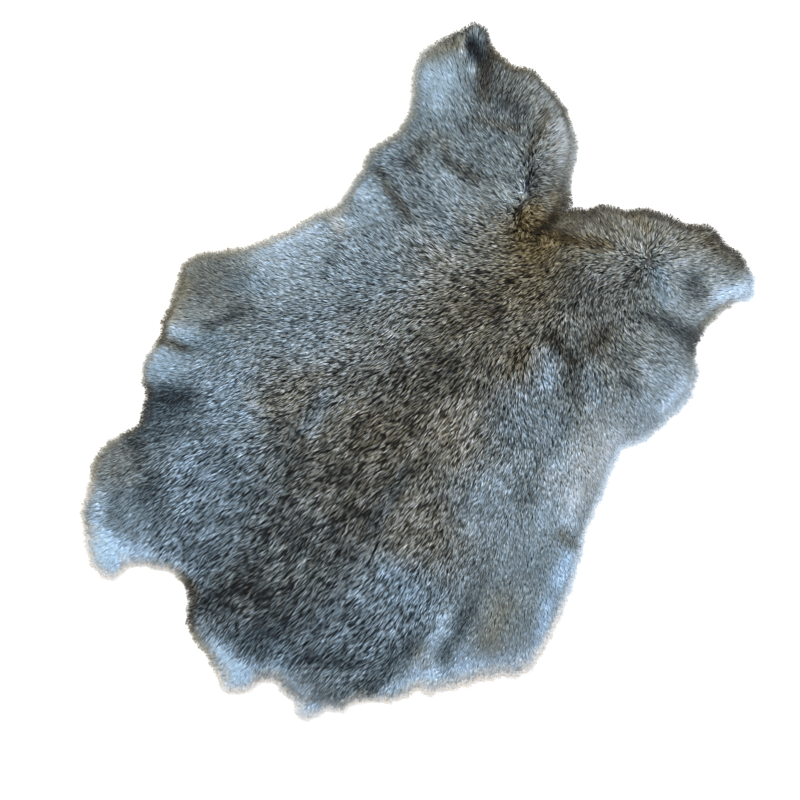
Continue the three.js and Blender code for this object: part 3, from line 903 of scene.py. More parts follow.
@dataclass(frozen=True)
class HairPalette:
    """Where a hair's colour stands on its UV map, which the material turns to the same colour.

    Across, the map has one block for each step from cool to warm, and runs from dark to pale in
    each. Upwards it has one row for each kind of hair, which runs from root to tip.
    """

    warm_steps: int = 12
    # Share of a block or row that is left free at each end, and the width of a hair's strip
    margin: float = 0.06
    strip: float = 0.005
    map_name: str = "OFBake"

    def across(self, warm: np.ndarray, light: np.ndarray) -> np.ndarray:
        """Finds a colour's place across the map.

        Args:
            warm: Warmth of each hair, from 0 to 1.
            light: Lightness of each hair, from 0 to 1.

        Returns:
            The U of each hair.
        """
        block = np.round(np.clip(warm, 0, 1) * (self.warm_steps - 1))
        inside = self.margin + (1 - 2 * self.margin) * np.clip(light, 0, 1)
        return (block + inside) / self.warm_steps

    def upward(self, kind: np.ndarray, along: np.ndarray) -> np.ndarray:
        """Finds the place of a kind of hair and of a point on it up the map.

        Args:
            kind: The value of each hair's kind.
            along: Share of the hair's length, 0 at the root.

        Returns:
            The V of each point.
        """
        inside = self.margin + (1 - 2 * self.margin) * along
        return (kind + inside) / len(HairKind)


PALETTE = HairPalette()


@dataclass(frozen=True)
class AgoutiHair:
    """Rabbit hair as it grew: slate at the root, then banded pale and black-tipped, or plain.

    To the eye it is a matt coat of light ticks on dark, blue-grey where the belly's paler hair
    begins and brown along the back.
    """

    roughness: float = 0.62
    specular: float = 0.35
    # Colours from dark to pale, of cool hair and of warm hair
    cool: tuple = (
        (0.0, "#13171b"),
        (0.2, "#2a3743"),
        (0.4, "#536672"),
        (0.6, "#8397a2"),
        (0.8, "#a9c2d8"),
        (0.9, "#c6e1fb"),
        (1.0, "#d6f0ff"),
    )
    warm: tuple = (
        (0.0, "#171208"),
        (0.2, "#372d19"),
        (0.4, "#635636"),
        (0.6, "#958968"),
        (0.8, "#c5b79c"),
        (1.0, "#faeee2"),
    )
    # Shift of light from root to tip for each kind of hair
    banded: tuple = (
        (0.0, -0.36),
        (0.35, -0.21),
        (0.55, 0.0),
        (0.7, 0.11),
        (0.9, 0.09),
        (1.0, -0.08),
    )
    dark: tuple = ((0.0, -0.32), (0.4, -0.18), (0.8, -0.14), (1.0, -0.2))
    soft: tuple = ((0.0, -0.26), (0.35, -0.14), (0.7, -0.04), (1.0, 0.0))
    plain: tuple = ((0.0, -0.08), (1.0, -0.01))
    # The ramps hold each shift this much higher, because a colour can't be negative
    held_up: float = 0.5

    def build(self) -> bpy.types.Material:
        """Makes the material, which reads its colour from the hair's place on the palette.

        Returns:
            The material.
        """
        material, shader = blank_material("agouti_rabbit_hair", self.roughness, self.specular)
        tree = material.node_tree
        places = add_node(tree, "ShaderNodeUVMap", {"uv_map": PALETTE.map_name})
        split = add_node(tree, "ShaderNodeSeparateXYZ", links={0: places.outputs[0]})
        block, light = self._unpacked(tree, split.outputs[0], PALETTE.warm_steps)
        kind, along = self._unpacked(tree, split.outputs[1], len(HairKind))
        lightness = calculated(tree, "ADD", light, self._shift(tree, kind, along))
        warmth = calculated(tree, "DIVIDE", block, float(PALETTE.warm_steps - 1))
        cool = toned(tree, lightness, self.cool)
        warm = toned(tree, lightness, self.warm)
        tree.links.new(mixed(tree, warmth, cool, warm), shader.inputs["Base Color"])
        return material

    def _unpacked(
        self, tree: bpy.types.NodeTree, value: bpy.types.NodeSocket, blocks: int
    ) -> tuple[bpy.types.NodeSocket, bpy.types.NodeSocket]:
        """Splits a map coordinate into its block's number and the share inside the block.

        Args:
            tree: The material's node tree.
            value: The coordinate.
            blocks: How many blocks the map has that way.

        Returns:
            The number and the share.
        """
        scaled = calculated(tree, "MULTIPLY", value, float(blocks))
        part = calculated(tree, "FRACT", scaled)
        limits = {0: part, 1: PALETTE.margin, 2: 1 - PALETTE.margin}
        share = add_node(tree, "ShaderNodeMapRange", links=limits).outputs[0]
        return calculated(tree, "FLOOR", scaled), share

    def _shift(
        self, tree: bpy.types.NodeTree, kind: bpy.types.NodeSocket, along: bpy.types.NodeSocket
    ) -> bpy.types.NodeSocket:
        """Reads the shift of light at this share of the length, from the profile of its kind.

        Args:
            tree: The material's node tree.
            kind: The hair's kind.
            along: Share of the hair's length.

        Returns:
            The shift.
        """
        chosen = None
        for number, profile in enumerate((self.banded, self.dark, self.soft, self.plain)):
            greys = [(position, (*[shift + self.held_up] * 3, 1)) for position, shift in profile]
            ramp = ramped(tree, along, greys)
            if chosen is None:
                chosen = ramp
                continue
            halfway = number - 1 / 2
            past = calculated(tree, "GREATER_THAN", kind, halfway)
            chosen = mixed(tree, past, chosen, ramp)
        return calculated(tree, "SUBTRACT", chosen, self.held_up)


@dataclass(frozen=True)
class FeltedWool:
    """Underfur: the fine dense wool under the longer hairs, felted by wear into soft tufts.

    To the eye it is a matt ground a shade darker than the coat over it, brown or slate with it.
    """

    # The point attribute that carries the coat's warmth and light
    tint: ClassVar[str] = "coat_tint"
    slate: tuple = ((0.2, "#1c2125"), (0.5, "#3f4a52"), (0.9, "#93a7b8"))
    brown: tuple = ((0.2, "#231c13"), (0.5, "#4f4230"), (0.9, "#a8977c"))
    # Tufts are 3.5 mm apart, and lighter and darker by this much in all
    tuft: float = 3.5
    tuft_detail: float = 3.0
    cloud: float = 0.3
    # Real fibres are far finer than 0.7 mm, which is as coarse as they need to be to show
    fibre: float = 0.7
    fibre_detail: float = 2.0
    bump: float = 0.6
    roughness: float = 0.95
    specular: float = 0.2

    def build(self) -> bpy.types.Material:
        """Makes the material from the coat's tint at each point and two scales of noise.

        Returns:
            The material.
        """
        material, shader = blank_material("felted_rabbit_wool", self.roughness, self.specular)
        tree = material.node_tree
        tint = add_node(tree, "ShaderNodeAttribute", {"attribute_name": self.tint})
        split = add_node(tree, "ShaderNodeSeparateXYZ", links={0: tint.outputs["Vector"]})
        place = add_node(tree, "ShaderNodeTexCoord").outputs["Object"]
        tufts = noise(tree, place, self.tuft, self.tuft_detail)
        fibres = noise(tree, place, self.fibre, self.fibre_detail)
        clouds = calculated(tree, "MULTIPLY_ADD", tufts, self.cloud, -self.cloud / 2)
        light = calculated(tree, "ADD", split.outputs[1], clouds)
        slate = toned(tree, light, self.slate)
        brown = toned(tree, light, self.brown)
        relief = {"Strength": self.bump, "Distance": self.fibre * MM, "Height": fibres}
        bump = add_node(tree, "ShaderNodeBump", links=relief)
        tree.links.new(mixed(tree, split.outputs[0], slate, brown), shader.inputs["Base Color"])
        tree.links.new(bump.outputs[0], shader.inputs["Normal"])
        return material


@dataclass(frozen=True)
class TannedSkin:
    """Rabbit skin, tanned white and buffed on the flesh side.

    To the eye it is cream suede with a fine nap and faint tan clouds.
    """

    # Clouds of the tan, a few to each leg
    clouds: tuple = ((0.38, "#efe3d2"), (0.68, "#d3bc9c"))
    cloud: float = 34.0
    cloud_detail: float = 4.0
    # The grain's cells and their share of the height, and the nap, drawn coarser than it is
    grain: float = 1.1
    grain_share: float = 0.5
    nap: float = 0.35
    nap_detail: float = 2.0
    bump: float = 0.35
    roughness: float = 0.85
    specular: float = 0.25

    def build(self) -> bpy.types.Material:
        """Makes the material from clouds, grain and nap on the piece's own coordinates.

        Returns:
            The material.
        """
        material, shader = blank_material("tanned_skin_suede", self.roughness, self.specular)
        tree = material.node_tree
        place = add_node(tree, "ShaderNodeTexCoord").outputs["Object"]
        colour = toned(tree, noise(tree, place, self.cloud, self.cloud_detail), self.clouds)
        cells = {"Vector": place, "Scale": 1 / (self.grain * MM)}
        grain = add_node(tree, "ShaderNodeTexVoronoi", links=cells).outputs[0]
        nap = noise(tree, place, self.nap, self.nap_detail)
        height = calculated(tree, "MULTIPLY_ADD", grain, self.grain_share, nap)
        relief = {"Strength": self.bump, "Distance": self.nap * MM, "Height": height}
        bump = add_node(tree, "ShaderNodeBump", links=relief)
        tree.links.new(colour, shader.inputs["Base Color"])
        tree.links.new(bump.outputs[0], shader.inputs["Normal"])
        return material


@dataclass(frozen=True)
class WhiteCard:
    """Plain matt card, nearly white, which the pelt lies on."""

    colour: str = "#f6f5f3"
    roughness: float = 0.9
    specular: float = 0.1

    def build(self) -> bpy.types.Material:
        """Makes the material.

        Returns:
            The material.
        """
        material, shader = blank_material("white_card", self.roughness, self.specular)
        shader.inputs["Base Color"].default_value = linear(self.colour)
        return material


def settle(piece: bpy.types.Object, material: bpy.types.Material) -> None:
    """Puts a finished piece on the frame: its body, the solid it stands for and its finish.

    Args:
        piece: The finished object.
        material: What it is made of.
    """
    mesh = piece.data
    mesh.materials.clear()
    mesh.materials.append(material)
    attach(piece, "root")
    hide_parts(NODE)
    log.info("%s: %d vertices, %d faces", piece.name, len(mesh.vertices), len(mesh.polygons))


@dataclass
class Blanket:
    """A layer cut from a fine grid to the pelt's outline and laid on its relief.

    spacing is the grid's, in mm. edge is the relief's rim distance less the layer's own inset, so
    that it is 0 at the cut.
    """

    name: str
    spacing: float
    thickness: float
    edge: np.ndarray = field(repr=False)
    relief: Relief = field(repr=False)
    # The cut edge is drawn out to the outline by this share of what is left, this many times
    draw: float = 0.8
    draws: int = 3

    def cut(self, height: Callable[[np.ndarray, np.ndarray], np.ndarray]) -> bpy.types.Object:
        """Makes the layer, closed, with its lower face at the height that is given.

        Args:
            height: Gives the lower face's height in mm from places in mm.

        Returns:
            The layer's object.
        """
        deselect_all()
        relief = self.relief
        size = [span * relief.STEP for span in (relief.shape[1] - 1, relief.shape[0] - 1)]
        middle = [relief.low[k] + size[k] / 2 for k in (0, 1)]
        counts = [round(s / self.spacing) for s in size]
        bpy.ops.mesh.primitive_grid_add(
            x_subdivisions=counts[0],
            y_subdivisions=counts[1],
            size=1,
            location=(middle[0] * MM, middle[1] * MM, 0),
        )
        layer = bpy.context.object
        layer.name = self.name
        layer.scale = (size[0] * MM, size[1] * MM, 1)
        bpy.ops.object.transform_apply(location=True, rotation=False, scale=True)
        self._trim(layer)
        self._lay(layer, height)
        self._thicken()
        bpy.ops.object.shade_smooth()
        return layer

    def _trim(self, layer: bpy.types.Object) -> None:
        """Cuts away what lies outside the outline, and any corner that hangs by one point.

        Args:
            layer: The layer, which is the active object.
        """
        bpy.ops.object.mode_set(mode="EDIT")
        bpy.ops.mesh.select_all(action="DESELECT")
        mesh = bmesh.from_edit_mesh(layer.data)
        for vert in mesh.verts:
            x, y = np.array([vert.co.x / MM]), np.array([vert.co.y / MM])
            vert.select = bool(self.relief.at(self.edge, x, y)[0] < 0)
        mesh.select_flush(True)
        bmesh.update_edit_mesh(layer.data)
        bpy.ops.mesh.delete(type="VERT")
        hanging = True
        while hanging:
            mesh = bmesh.from_edit_mesh(layer.data)
            hanging = [vert for vert in mesh.verts if self._hangs(vert)]
            bmesh.ops.delete(mesh, geom=hanging, context="VERTS")
            bmesh.update_edit_mesh(layer.data)
        bpy.ops.object.mode_set(mode="OBJECT")

    def _hangs(self, vert: bmesh.types.BMVert) -> bool:
        """Whether a point holds no face, or two faces that meet there and nowhere else."""
        faces = len(vert.link_faces)
        return faces == 0 or len(vert.link_edges) > faces + 1

    def _lay(
        self, layer: bpy.types.Object, height: Callable[[np.ndarray, np.ndarray], np.ndarray]
    ) -> None:
        """Draws the cut edge out to the outline and lifts the layer to its height.

        Args:
            layer: The layer, still flat.
            height: Gives the height in mm from places in mm.
        """
        mesh = layer.data
        relief = self.relief
        places = read_places(mesh)
        corners = [corner for polygon in mesh.polygons for corner in polygon.vertices]
        faces_round_inner_point = 4
        cut = np.bincount(corners, minlength=len(places)) < faces_round_inner_point
        for _ in range(self.draws):
            x, y = places[cut, 0], places[cut, 1]
            out = relief.at(self.edge, x, y) * self.draw
            places[cut, 0] += out * relief.at(relief.outward_x, x, y)
            places[cut, 1] += out * relief.at(relief.outward_y, x, y)
        places[:, 2] = height(places[:, 0], places[:, 1])
        write_places(mesh, places)

    def _thicken(self) -> None:
        """Gives the layer its thickness, straight up, and closes it all round."""
        bpy.ops.object.mode_set(mode="EDIT")
        bpy.ops.mesh.select_all(action="SELECT")
        up = (0, 0, self.thickness * MM)
        bpy.ops.mesh.extrude_region_move(TRANSFORM_OT_translate={"value": up})
        bpy.ops.mesh.select_all(action="SELECT")
        bpy.ops.mesh.normals_make_consistent()
        bpy.ops.object.mode_set(mode="OBJECT")


@dataclass
class Skin:
    """The tanned skin itself: one thin sheet that carries the whole coat."""

    relief: Relief = field(repr=False)
    coat_map: CoatMap = field(repr=False)
    thickness: float = 1.1
    spacing: float = 3.8
    # The skin ends this far short of the hair, and more the darker the rim's hair is than pale
    inset: float = 1.4
    dark_inset: float = 1.6
    pale_rim: float = 1.1
    # It lies a little flatter than the solid's underside, and just clear of the floor
    flatter: float = 0.85
    clearance: float = 0.05

    def build(self) -> bpy.types.Object:
        """Cuts the skin and lays it on the solid's underside.

        Returns:
            The skin's object.
        """
        dark_rim = np.clip(self.pale_rim - self.coat_map.rim_light, 0, 1)
        edge = self.relief.rim - self.inset - self.dark_inset * dark_rim
        blanket = Blanket("tanned_skin", self.spacing, self.thickness, edge, self.relief)
        skin = blanket.cut(self.lowest)
        settle(skin, TannedSkin().build())
        return skin

    def lowest(self, x: np.ndarray, y: np.ndarray) -> np.ndarray:
        """Height of the skin's flesh side at these places, in mm."""
        return self.relief.at(self.relief.under, x, y) * self.flatter + self.clearance

    def top(self, x: np.ndarray, y: np.ndarray) -> np.ndarray:
        """Height of the skin's hair side at these places, in mm."""
        return self.lowest(x, y) + self.thickness


@dataclass
class Underfur:
    """The woolly ground of the coat, which shows dark between the longer hairs."""

    relief: Relief = field(repr=False)
    coat_map: CoatMap = field(repr=False)
    skin: Skin = field(repr=False)
    spacing: float = 3.0
    inset: float = 3.6
    # Share of the coat's depth that the wool fills, and its least depth
    depth: float = 0.56
    least: float = 0.4
    tufts: Patches = Patches(3.2, 0.9, 5)

    def build(self) -> bpy.types.Object:
        """Cuts the wool's layer and raises its tufts.

        Returns:
            The underfur's object.
        """
        edge = self.relief.rim - self.inset
        blanket = Blanket("underfur", self.spacing, self.least, edge, self.relief)
        wool = blanket.cut(self.skin.top)
        places = read_places(wool.data)
        x, y = places[:, 0], places[:, 1]
        base = self.skin.top(x, y)
        upper = places[:, 2] > base + self.least / 2
        full = self.relief.at(self.relief.top, x, y)
        tufts = self.relief.at(self.relief.patches(self.tufts), x, y)
        raised = np.maximum(base + (full - base) * self.depth + tufts, base + self.least)
        places[upper, 2] = raised[upper]
        write_places(wool.data, places)
        warm = self.relief.at(self.coat_map.warm, x, y)
        light = self.relief.at(self.coat_map.light, x, y)
        tint = wool.data.attributes.new(FeltedWool.tint, "FLOAT_VECTOR", "POINT")
        tint.data.foreach_set("vector", np.stack([warm, light, np.zeros(len(x))], 1).ravel())
        settle(wool, FeltedWool().build())
        return wool


@dataclass
class Rows:
    """Arrays that have one entry for each hair or tuft."""

    def picked(self, chosen: np.ndarray) -> Self:
        """Rows that are chosen by a mask or by their numbers, in the same form."""
        return type(self)(*(getattr(self, name)[chosen] for name in self.__dataclass_fields__))


@dataclass
class Tufts(Rows):
    """Tufts that the hairs lie together in: root, turn, stretch, tone and strength of banding."""

    x: np.ndarray
    y: np.ndarray
    turn: np.ndarray
    stretch: np.ndarray
    tone: np.ndarray
    tick: np.ndarray


@dataclass
class Strands(Rows):
    """Hairs: three stations each in mm, with their widths and palette places."""

    root: np.ndarray
    middle: np.ndarray
    tip: np.ndarray
    width: np.ndarray
    kind: np.ndarray
    warm: np.ndarray
    light: np.ndarray


class HairMesh:
    """Turns hairs into one joined mesh of closed spindles: a root, two middle points and a tip."""

    # Corners of each triangle, outwards: 0 is the root, 1 the left, 2 the right and 3 the tip
    FACES = ((0, 2, 1), (3, 1, 2), (0, 1, 3), (0, 3, 2))
    # How far along the hair each triangle's corners are, and which side of its strip
    ALONG = ((0.0, 0.5, 0.5), (1.0, 0.5, 0.5), (0.0, 0.5, 1.0), (0.0, 1.0, 0.5))
    ACROSS = ((0.5, 1.0, 0.0), (0.5, 0.0, 1.0), (0.5, 0.0, 0.5), (0.5, 0.5, 1.0))
    STRIP_MIDDLE = 0.5
    # A hair that runs less far than this over the skin has no side to spread to, in mm
    UPRIGHT = 1e-9

    def __init__(self, name: str, hairs: Strands) -> None:
        """Takes the hairs that the mesh is made of.

        Args:
            name: The piece's name.
            hairs: Its hairs.
        """
        self.name = name
        self.hairs = hairs

    def build(self, material: bpy.types.Material) -> bpy.types.Object:
        """Makes the mesh and its object.

        Args:
            material: The hair's material.

        Returns:
            The piece.
        """
        points = self._points()
        hairs, per_hair = points.shape[:2]
        start = per_hair * np.arange(hairs)[:, None]
        corners = (start + np.array(self.FACES).ravel()).ravel()
        triangles = len(corners) // 3
        mesh = bpy.data.meshes.new(self.name)
        mesh.vertices.add(hairs * per_hair)
        mesh.loops.add(len(corners))
        mesh.loops.foreach_set("vertex_index", corners)
        mesh.polygons.add(triangles)
        mesh.polygons.foreach_set("loop_start", 3 * np.arange(triangles))
        mesh.polygons.foreach_set("use_smooth", np.ones(triangles, bool))
        layer = mesh.uv_layers.new(name=PALETTE.map_name)
        layer.data.foreach_set("uv", self._colours().ravel())
        write_places(mesh, points)
        mesh.update(calc_edges=True)
        mesh.validate()
        piece = bpy.data.objects.new(self.name, mesh)
        bpy.context.scene.collection.objects.link(piece)
        settle(piece, material)
        return piece

    def _points(self) -> np.ndarray:
        """Places the points of each hair, its middle spread level and square to its run.

        Returns:
            Root, left, right and tip of each hair, in mm.
        """
        hairs = self.hairs
        side = np.cross(hairs.tip - hairs.root, (0.0, 0.0, 1.0))
        side /= np.maximum(np.linalg.norm(side, axis=1, keepdims=True), self.UPRIGHT)
        half = side * hairs.width[:, None] / 2
        return np.stack([hairs.root, hairs.middle - half, hairs.middle + half, hairs.tip], 1)

    def _colours(self) -> np.ndarray:
        """Finds each corner's place on the palette, a narrow strip of it for each hair.

        Returns:
            U and V of each corner.
        """
        hairs = self.hairs
        steps = (np.array(self.ACROSS).ravel() - self.STRIP_MIDDLE) * PALETTE.strip
        u = PALETTE.across(hairs.warm, hairs.light)[:, None] + steps
        v = PALETTE.upward(hairs.kind[:, None], np.array(self.ALONG).ravel()[None])
        return np.stack([u, v], 2)


@dataclass(frozen=True)
class Region:
    """Part of the coat that is one piece: the hairs that root between four lines."""

    name: str
    left: float
    right: float
    rear: float
    front: float

    def holds(self, x: np.ndarray, y: np.ndarray) -> np.ndarray:
        """Whether each place of the tables' measure is in this part."""
        return (x >= self.left) & (x < self.right) & (y > self.rear) & (y <= self.front)


# Where the coat's pieces meet, in the tables' measure
SHOULDERS, HIPS = 92, -62
NECK, LEFT_FLANK, RIGHT_FLANK, TAIL = 14, -40, 52, -10
REGIONS = [
    Region("forequarter_left_fur", -math.inf, NECK, SHOULDERS, math.inf),
    Region("forequarter_right_fur", NECK, math.inf, SHOULDERS, math.inf),
    Region("flank_left_fur", -math.inf, LEFT_FLANK, HIPS, SHOULDERS),
    Region("back_fur", LEFT_FLANK, RIGHT_FLANK, HIPS, SHOULDERS),
    Region("flank_right_fur", RIGHT_FLANK, math.inf, HIPS, SHOULDERS),
    Region("hindquarter_left_fur", -math.inf, TAIL, -math.inf, HIPS),
    Region("hindquarter_right_fur", TAIL, math.inf, -math.inf, HIPS),
]


@dataclass(frozen=True)
class Rising:
    """A value that grows evenly with another: what it is at 0, and what it gains up to 1."""

    start: float
    gain: float

    def at(self, share: np.ndarray) -> np.ndarray:
        """The value at each share."""
        return self.start + self.gain * share


@dataclass
class Coat:
    """The coat of longer hairs, grown in tufts that lie over each other like shingles."""

    relief: Relief = field(repr=False)
    coat_map: CoatMap = field(repr=False)
    skin: Skin = field(repr=False)
    # Tufts stand on a shaken grid, and their hairs this far round them and inside the rim, in mm
    tuft_spacing: float = 0.92
    shake: float = 0.5
    tuft_radius: float = 0.75
    tuft_inset: float = 0.9
    hair_inset: float = 0.6
    hairs_per_tuft: int = 2
    # A tuft's hairs are longer or shorter by this factor
    stretch: tuple[float, float] = (0.82, 1.18)
    # A hair's width in mm, thicker than a real one's so that it shows, and by how much it is
    # finer near the rim and where the coat is thin
    hair_width: tuple[float, float] = (0.3, 0.56)
    rim_width: Rising = Rising(0.7, 0.3)
    thin_width: Rising = Rising(0.55, 1.0)
    least_thin_width: float = 0.7
    full_coat: float = 30.0
    # How far a hair runs over the skin: at least, and more for each mm of the coat's depth
    short_run: float = 4.1
    run_for_depth: float = 0.22
    # Share of that run by how well the hair lies in order
    order_run: Rising = Rising(0.65, 0.35)
    # A hair that runs further off the rim than this is drawn back, in these rounds, but not past
    # the least run
    overrun: float = 1.0
    drawn_back: int = 4
    least_run: float = 2.0
    # Share of a hair's way to its own tip that it gives up for its tuft's tip
    gather: float = 0.22
    # Its middle strays to the side, and stands up by a share of its rise or at least by the arch
    bend: float = 0.12
    rise: float = 0.3
    arch: float = 0.25
    # Roots stand this share of the coat's depth over the skin, and the coat is at least so deep
    root_depth: float = 0.42
    least_depth: float = 0.5
    # Tips are lifted in full where the coat is this deep, and by this share where there is none
    lifted_depth: float = 6.0
    least_lift: float = 0.15
    # No tip sinks below this height, by the skin's own
    tip_floor: Rising = Rising(0.5, 0.5)
    # Within this distance of the rim the hairs get finer and turn outwards
    fine_rim: float = 16.0
    least_inward: float = 0.25
    rim_pull: float = 0.75
    pull_reach: float = 7.0
    # Degrees that a tuft strays, and how much more where the hair whorls
    wander: float = 8.0
    whorl_wander: float = 70.0
    swirls: tuple[Patches, ...] = (Patches(9, 8, 21), Patches(24, 9, 22))
    # Tufts above the first tone are banded and below the second dark
    banded_tone: float = 0.66
    dark_tone: float = 0.36
    middle_tone: float = 0.5
    tone_noise: float = 0.12
    # Shift of light from the darkest tone to the palest, and of single hairs, by their tick
    contrast: float = 0.44
    tick_contrast: Rising = Rising(0.3, 0.7)
    speckle: Rising = Rising(0.02, 0.065)
    warm_noise: float = 0.09
    # Banded tips lie over the others and dark ones under them, in mm, and all stray in height
    # about a mean, by their tick
    banded_lift: float = 0.7
    dark_drop: float = 0.45
    stray_height: tuple[float, float] = (-0.2, 0.4)
    tick_stray: Rising = Rising(0.4, 0.6)
    # Hairs without bands are plain to the root where the coat is lighter than this
    plain_light: float = 0.7
    plain_noise: float = 0.08
    seed: int = 11

    def build(self, material: bpy.types.Material) -> list[bpy.types.Object]:
        """Grows the coat and makes one piece for each region.

        Args:
            material: The hair's material.

        Returns:
            The pieces.
        """
        rng = np.random.default_rng(self.seed)
        tufts = self._tufts(rng)
        number = np.repeat(np.arange(len(tufts.x)), self.hairs_per_tuft)
        hairs = self._hairs(tufts.picked(number), rng)
        x, y = hairs.root[:, 0] + TABLE_MIDDLE[0], hairs.root[:, 1] + TABLE_MIDDLE[1]
        return [
            HairMesh(region.name, hairs.picked(region.holds(x, y))).build(material)
            for region in REGIONS
        ]

    def _tufts(self, rng: np.random.Generator) -> Tufts:
        """Sets the tufts on a shaken grid over the whole skin.

        Args:
            rng: The coat's random numbers.

        Returns:
            The tufts.
        """
        relief = self.relief
        xs = np.arange(relief.xs[0], relief.xs[-1], self.tuft_spacing)
        ys = np.arange(relief.ys[0], relief.ys[-1], self.tuft_spacing)
        x, y = (grid.ravel() for grid in np.meshgrid(xs, ys))
        x = x + rng.uniform(-self.shake, self.shake, len(x)) * self.tuft_spacing
        y = y + rng.uniform(-self.shake, self.shake, len(y)) * self.tuft_spacing
        kept = relief.at(relief.rim, x, y) > self.tuft_inset
        x, y = x[kept], y[kept]
        count = len(x)
        tone = rng.uniform(0, 1, count)
        turn = rng.normal(0, 1, count)
        stretch = rng.uniform(*self.stretch, count)
        return Tufts(x, y, turn, stretch, tone, relief.at(self.coat_map.tick, x, y))

    def _hairs(self, tufts: Tufts, rng: np.random.Generator) -> Strands:
        """Grows the hairs: each starts near its tuft's root and leans to its tuft's tip.

        Args:
            tufts: The tuft of each hair.
            rng: The coat's random numbers.

        Returns:
            The hairs.
        """
        relief = self.relief
        angle = rng.uniform(0, 2 * math.pi, len(tufts.x))
        radius = self.tuft_radius * np.sqrt(rng.uniform(0, 1, len(tufts.x)))
        x = tufts.x + radius * np.cos(angle)
        y = tufts.y + radius * np.sin(angle)
        inside = relief.at(relief.rim, x, y) > self.hair_inset
        x, y, tufts = x[inside], y[inside], tufts.picked(inside)
        count = len(x)
        tone = tufts.tone + rng.normal(0, self.tone_noise, count)
        run, lie_x, lie_y = self._lie(x, y, tufts, rng)
        inward = np.clip(relief.at(relief.rim, x, y) / self.fine_rim, self.least_inward, 1)
        gather = self.gather * inward
        tip_x = x + run * lie_x + (tufts.x - x) * gather
        tip_y = y + run * lie_y + (tufts.y - y) * gather
        root_z, tip_z = self._heights(x, y, tip_x, tip_y, self._lift(tone, tufts.tick, rng))
        bend = rng.normal(0, self.bend, count)
        mid_x = (x + tip_x) / 2 - lie_y * bend
        mid_y = (y + tip_y) / 2 + lie_x * bend
        mid_z = (root_z + tip_z) / 2 + np.maximum((tip_z - root_z) * self.rise, self.arch)
        kind, warm, light = self._colours(tip_x, tip_y, tone, tufts.tick, rng)
        fullness = self.thin_width.at(relief.at(relief.top, x, y) / self.full_coat)
        fullness = np.clip(fullness, self.least_thin_width, 1)
        return Strands(
            np.stack([x, y, root_z], 1),
            np.stack([mid_x, mid_y, mid_z], 1),
            np.stack([tip_x, tip_y, tip_z], 1),
            rng.uniform(*self.hair_width, count) * self.rim_width.at(inward) * fullness,
            kind,
            warm,
            light,
        )

    def _lift(self, tone: np.ndarray, tick: np.ndarray, rng: np.random.Generator) -> np.ndarray:
        """Raises the tips of banded hairs and sinks those of dark ones.

        Args:
            tone: Each hair's tone, from 0 to 1.
            tick: How strongly the coat is banded there.
            rng: The coat's random numbers.

        Returns:
            How far each tip is off the coat's top, in mm.
        """
        lift = np.where(tone > self.banded_tone, self.banded_lift, 0.0)
        lift = np.where(tone < self.dark_tone, -self.dark_drop, lift)
        stray = rng.normal(*self.stray_height, len(tone)) * self.tick_stray.at(tick)
        return lift * tick + stray

    def _colours(
        self,
        tip_x: np.ndarray,
        tip_y: np.ndarray,
        tone: np.ndarray,
        tick: np.ndarray,
        rng: np.random.Generator,
    ) -> tuple[np.ndarray, np.ndarray, np.ndarray]:
        """Colours the hairs by where their tips lie.

        Args:
            tip_x: Each tip's place across, in mm.
            tip_y: Each tip's place along, in mm.
            tone: Each hair's tone, from 0 to 1.
            tick: How strongly the coat is banded there.
            rng: The coat's random numbers.

        Returns:
            Kind, warmth and lightness of each hair.
        """
        relief, coat, count = self.relief, self.coat_map, len(tone)
        plain = rng.uniform(0, 1, count) > tick
        spread = (tone - self.middle_tone) * self.contrast * self.tick_contrast.at(tick**2)
        speckle = rng.normal(0, 1, count) * self.speckle.at(np.minimum(tick, 1))
        light = relief.at(coat.light, tip_x, tip_y) + spread + speckle
        warm = relief.at(coat.warm, tip_x, tip_y) + rng.normal(0, self.warm_noise, count)
        pale = light + rng.normal(0, self.plain_noise, count) > self.plain_light
        kind = np.where(tone > self.banded_tone, HairKind.BANDED.value, HairKind.SOFT.value)
        kind = np.where(tone < self.dark_tone, HairKind.DARK.value, kind)
        kind = np.where(plain, HairKind.SOFT.value, kind)
        kind = np.where(plain & pale, HairKind.PLAIN.value, kind)
        return kind, warm, light

    def _lie(
        self, x: np.ndarray, y: np.ndarray, tufts: Tufts, rng: np.random.Generator
    ) -> tuple[np.ndarray, np.ndarray, np.ndarray]:
        """Works out how far each hair runs over the skin and which way.

        Args:
            x: Each root's place across, in mm.
            y: Each root's place along, in mm.
            tufts: The tuft of each hair.
            rng: The coat's random numbers.

        Returns:
            Each run in mm, kept from running far off the rim, and its way across and along.
        """
        relief, coat = self.relief, self.coat_map
        rim = np.maximum(relief.at(relief.rim, x, y), 0)
        pull = self.rim_pull * np.exp(-rim / self.pull_reach)
        way_x = relief.at(coat.comb_x, x, y) + pull * relief.at(relief.outward_x, x, y)
        way_y = relief.at(coat.comb_y, x, y) + pull * relief.at(relief.outward_y, x, y)
        swirl = sum(relief.at(relief.patches(kind), x, y) for kind in self.swirls)
        order = relief.at(coat.order, x, y)
        wander = tufts.turn * (self.wander + self.whorl_wander * (1 - order) ** 2)
        heading = np.arctan2(way_x, way_y) + np.radians(wander + swirl)
        lie_x, lie_y = np.sin(heading), np.cos(heading)
        depth = relief.at(relief.top, x, y)
        run = (self.short_run + self.run_for_depth * depth) * tufts.stretch
        run = run * self.order_run.at(order)
        spare = rng.uniform(-self.overrun, self.overrun, len(x))
        for _ in range(self.drawn_back):
            past = -relief.at(relief.rim, x + run * lie_x, y + run * lie_y) - spare
            run = np.where(past > 0, np.maximum(run - past, self.least_run), run)
        return run, lie_x, lie_y

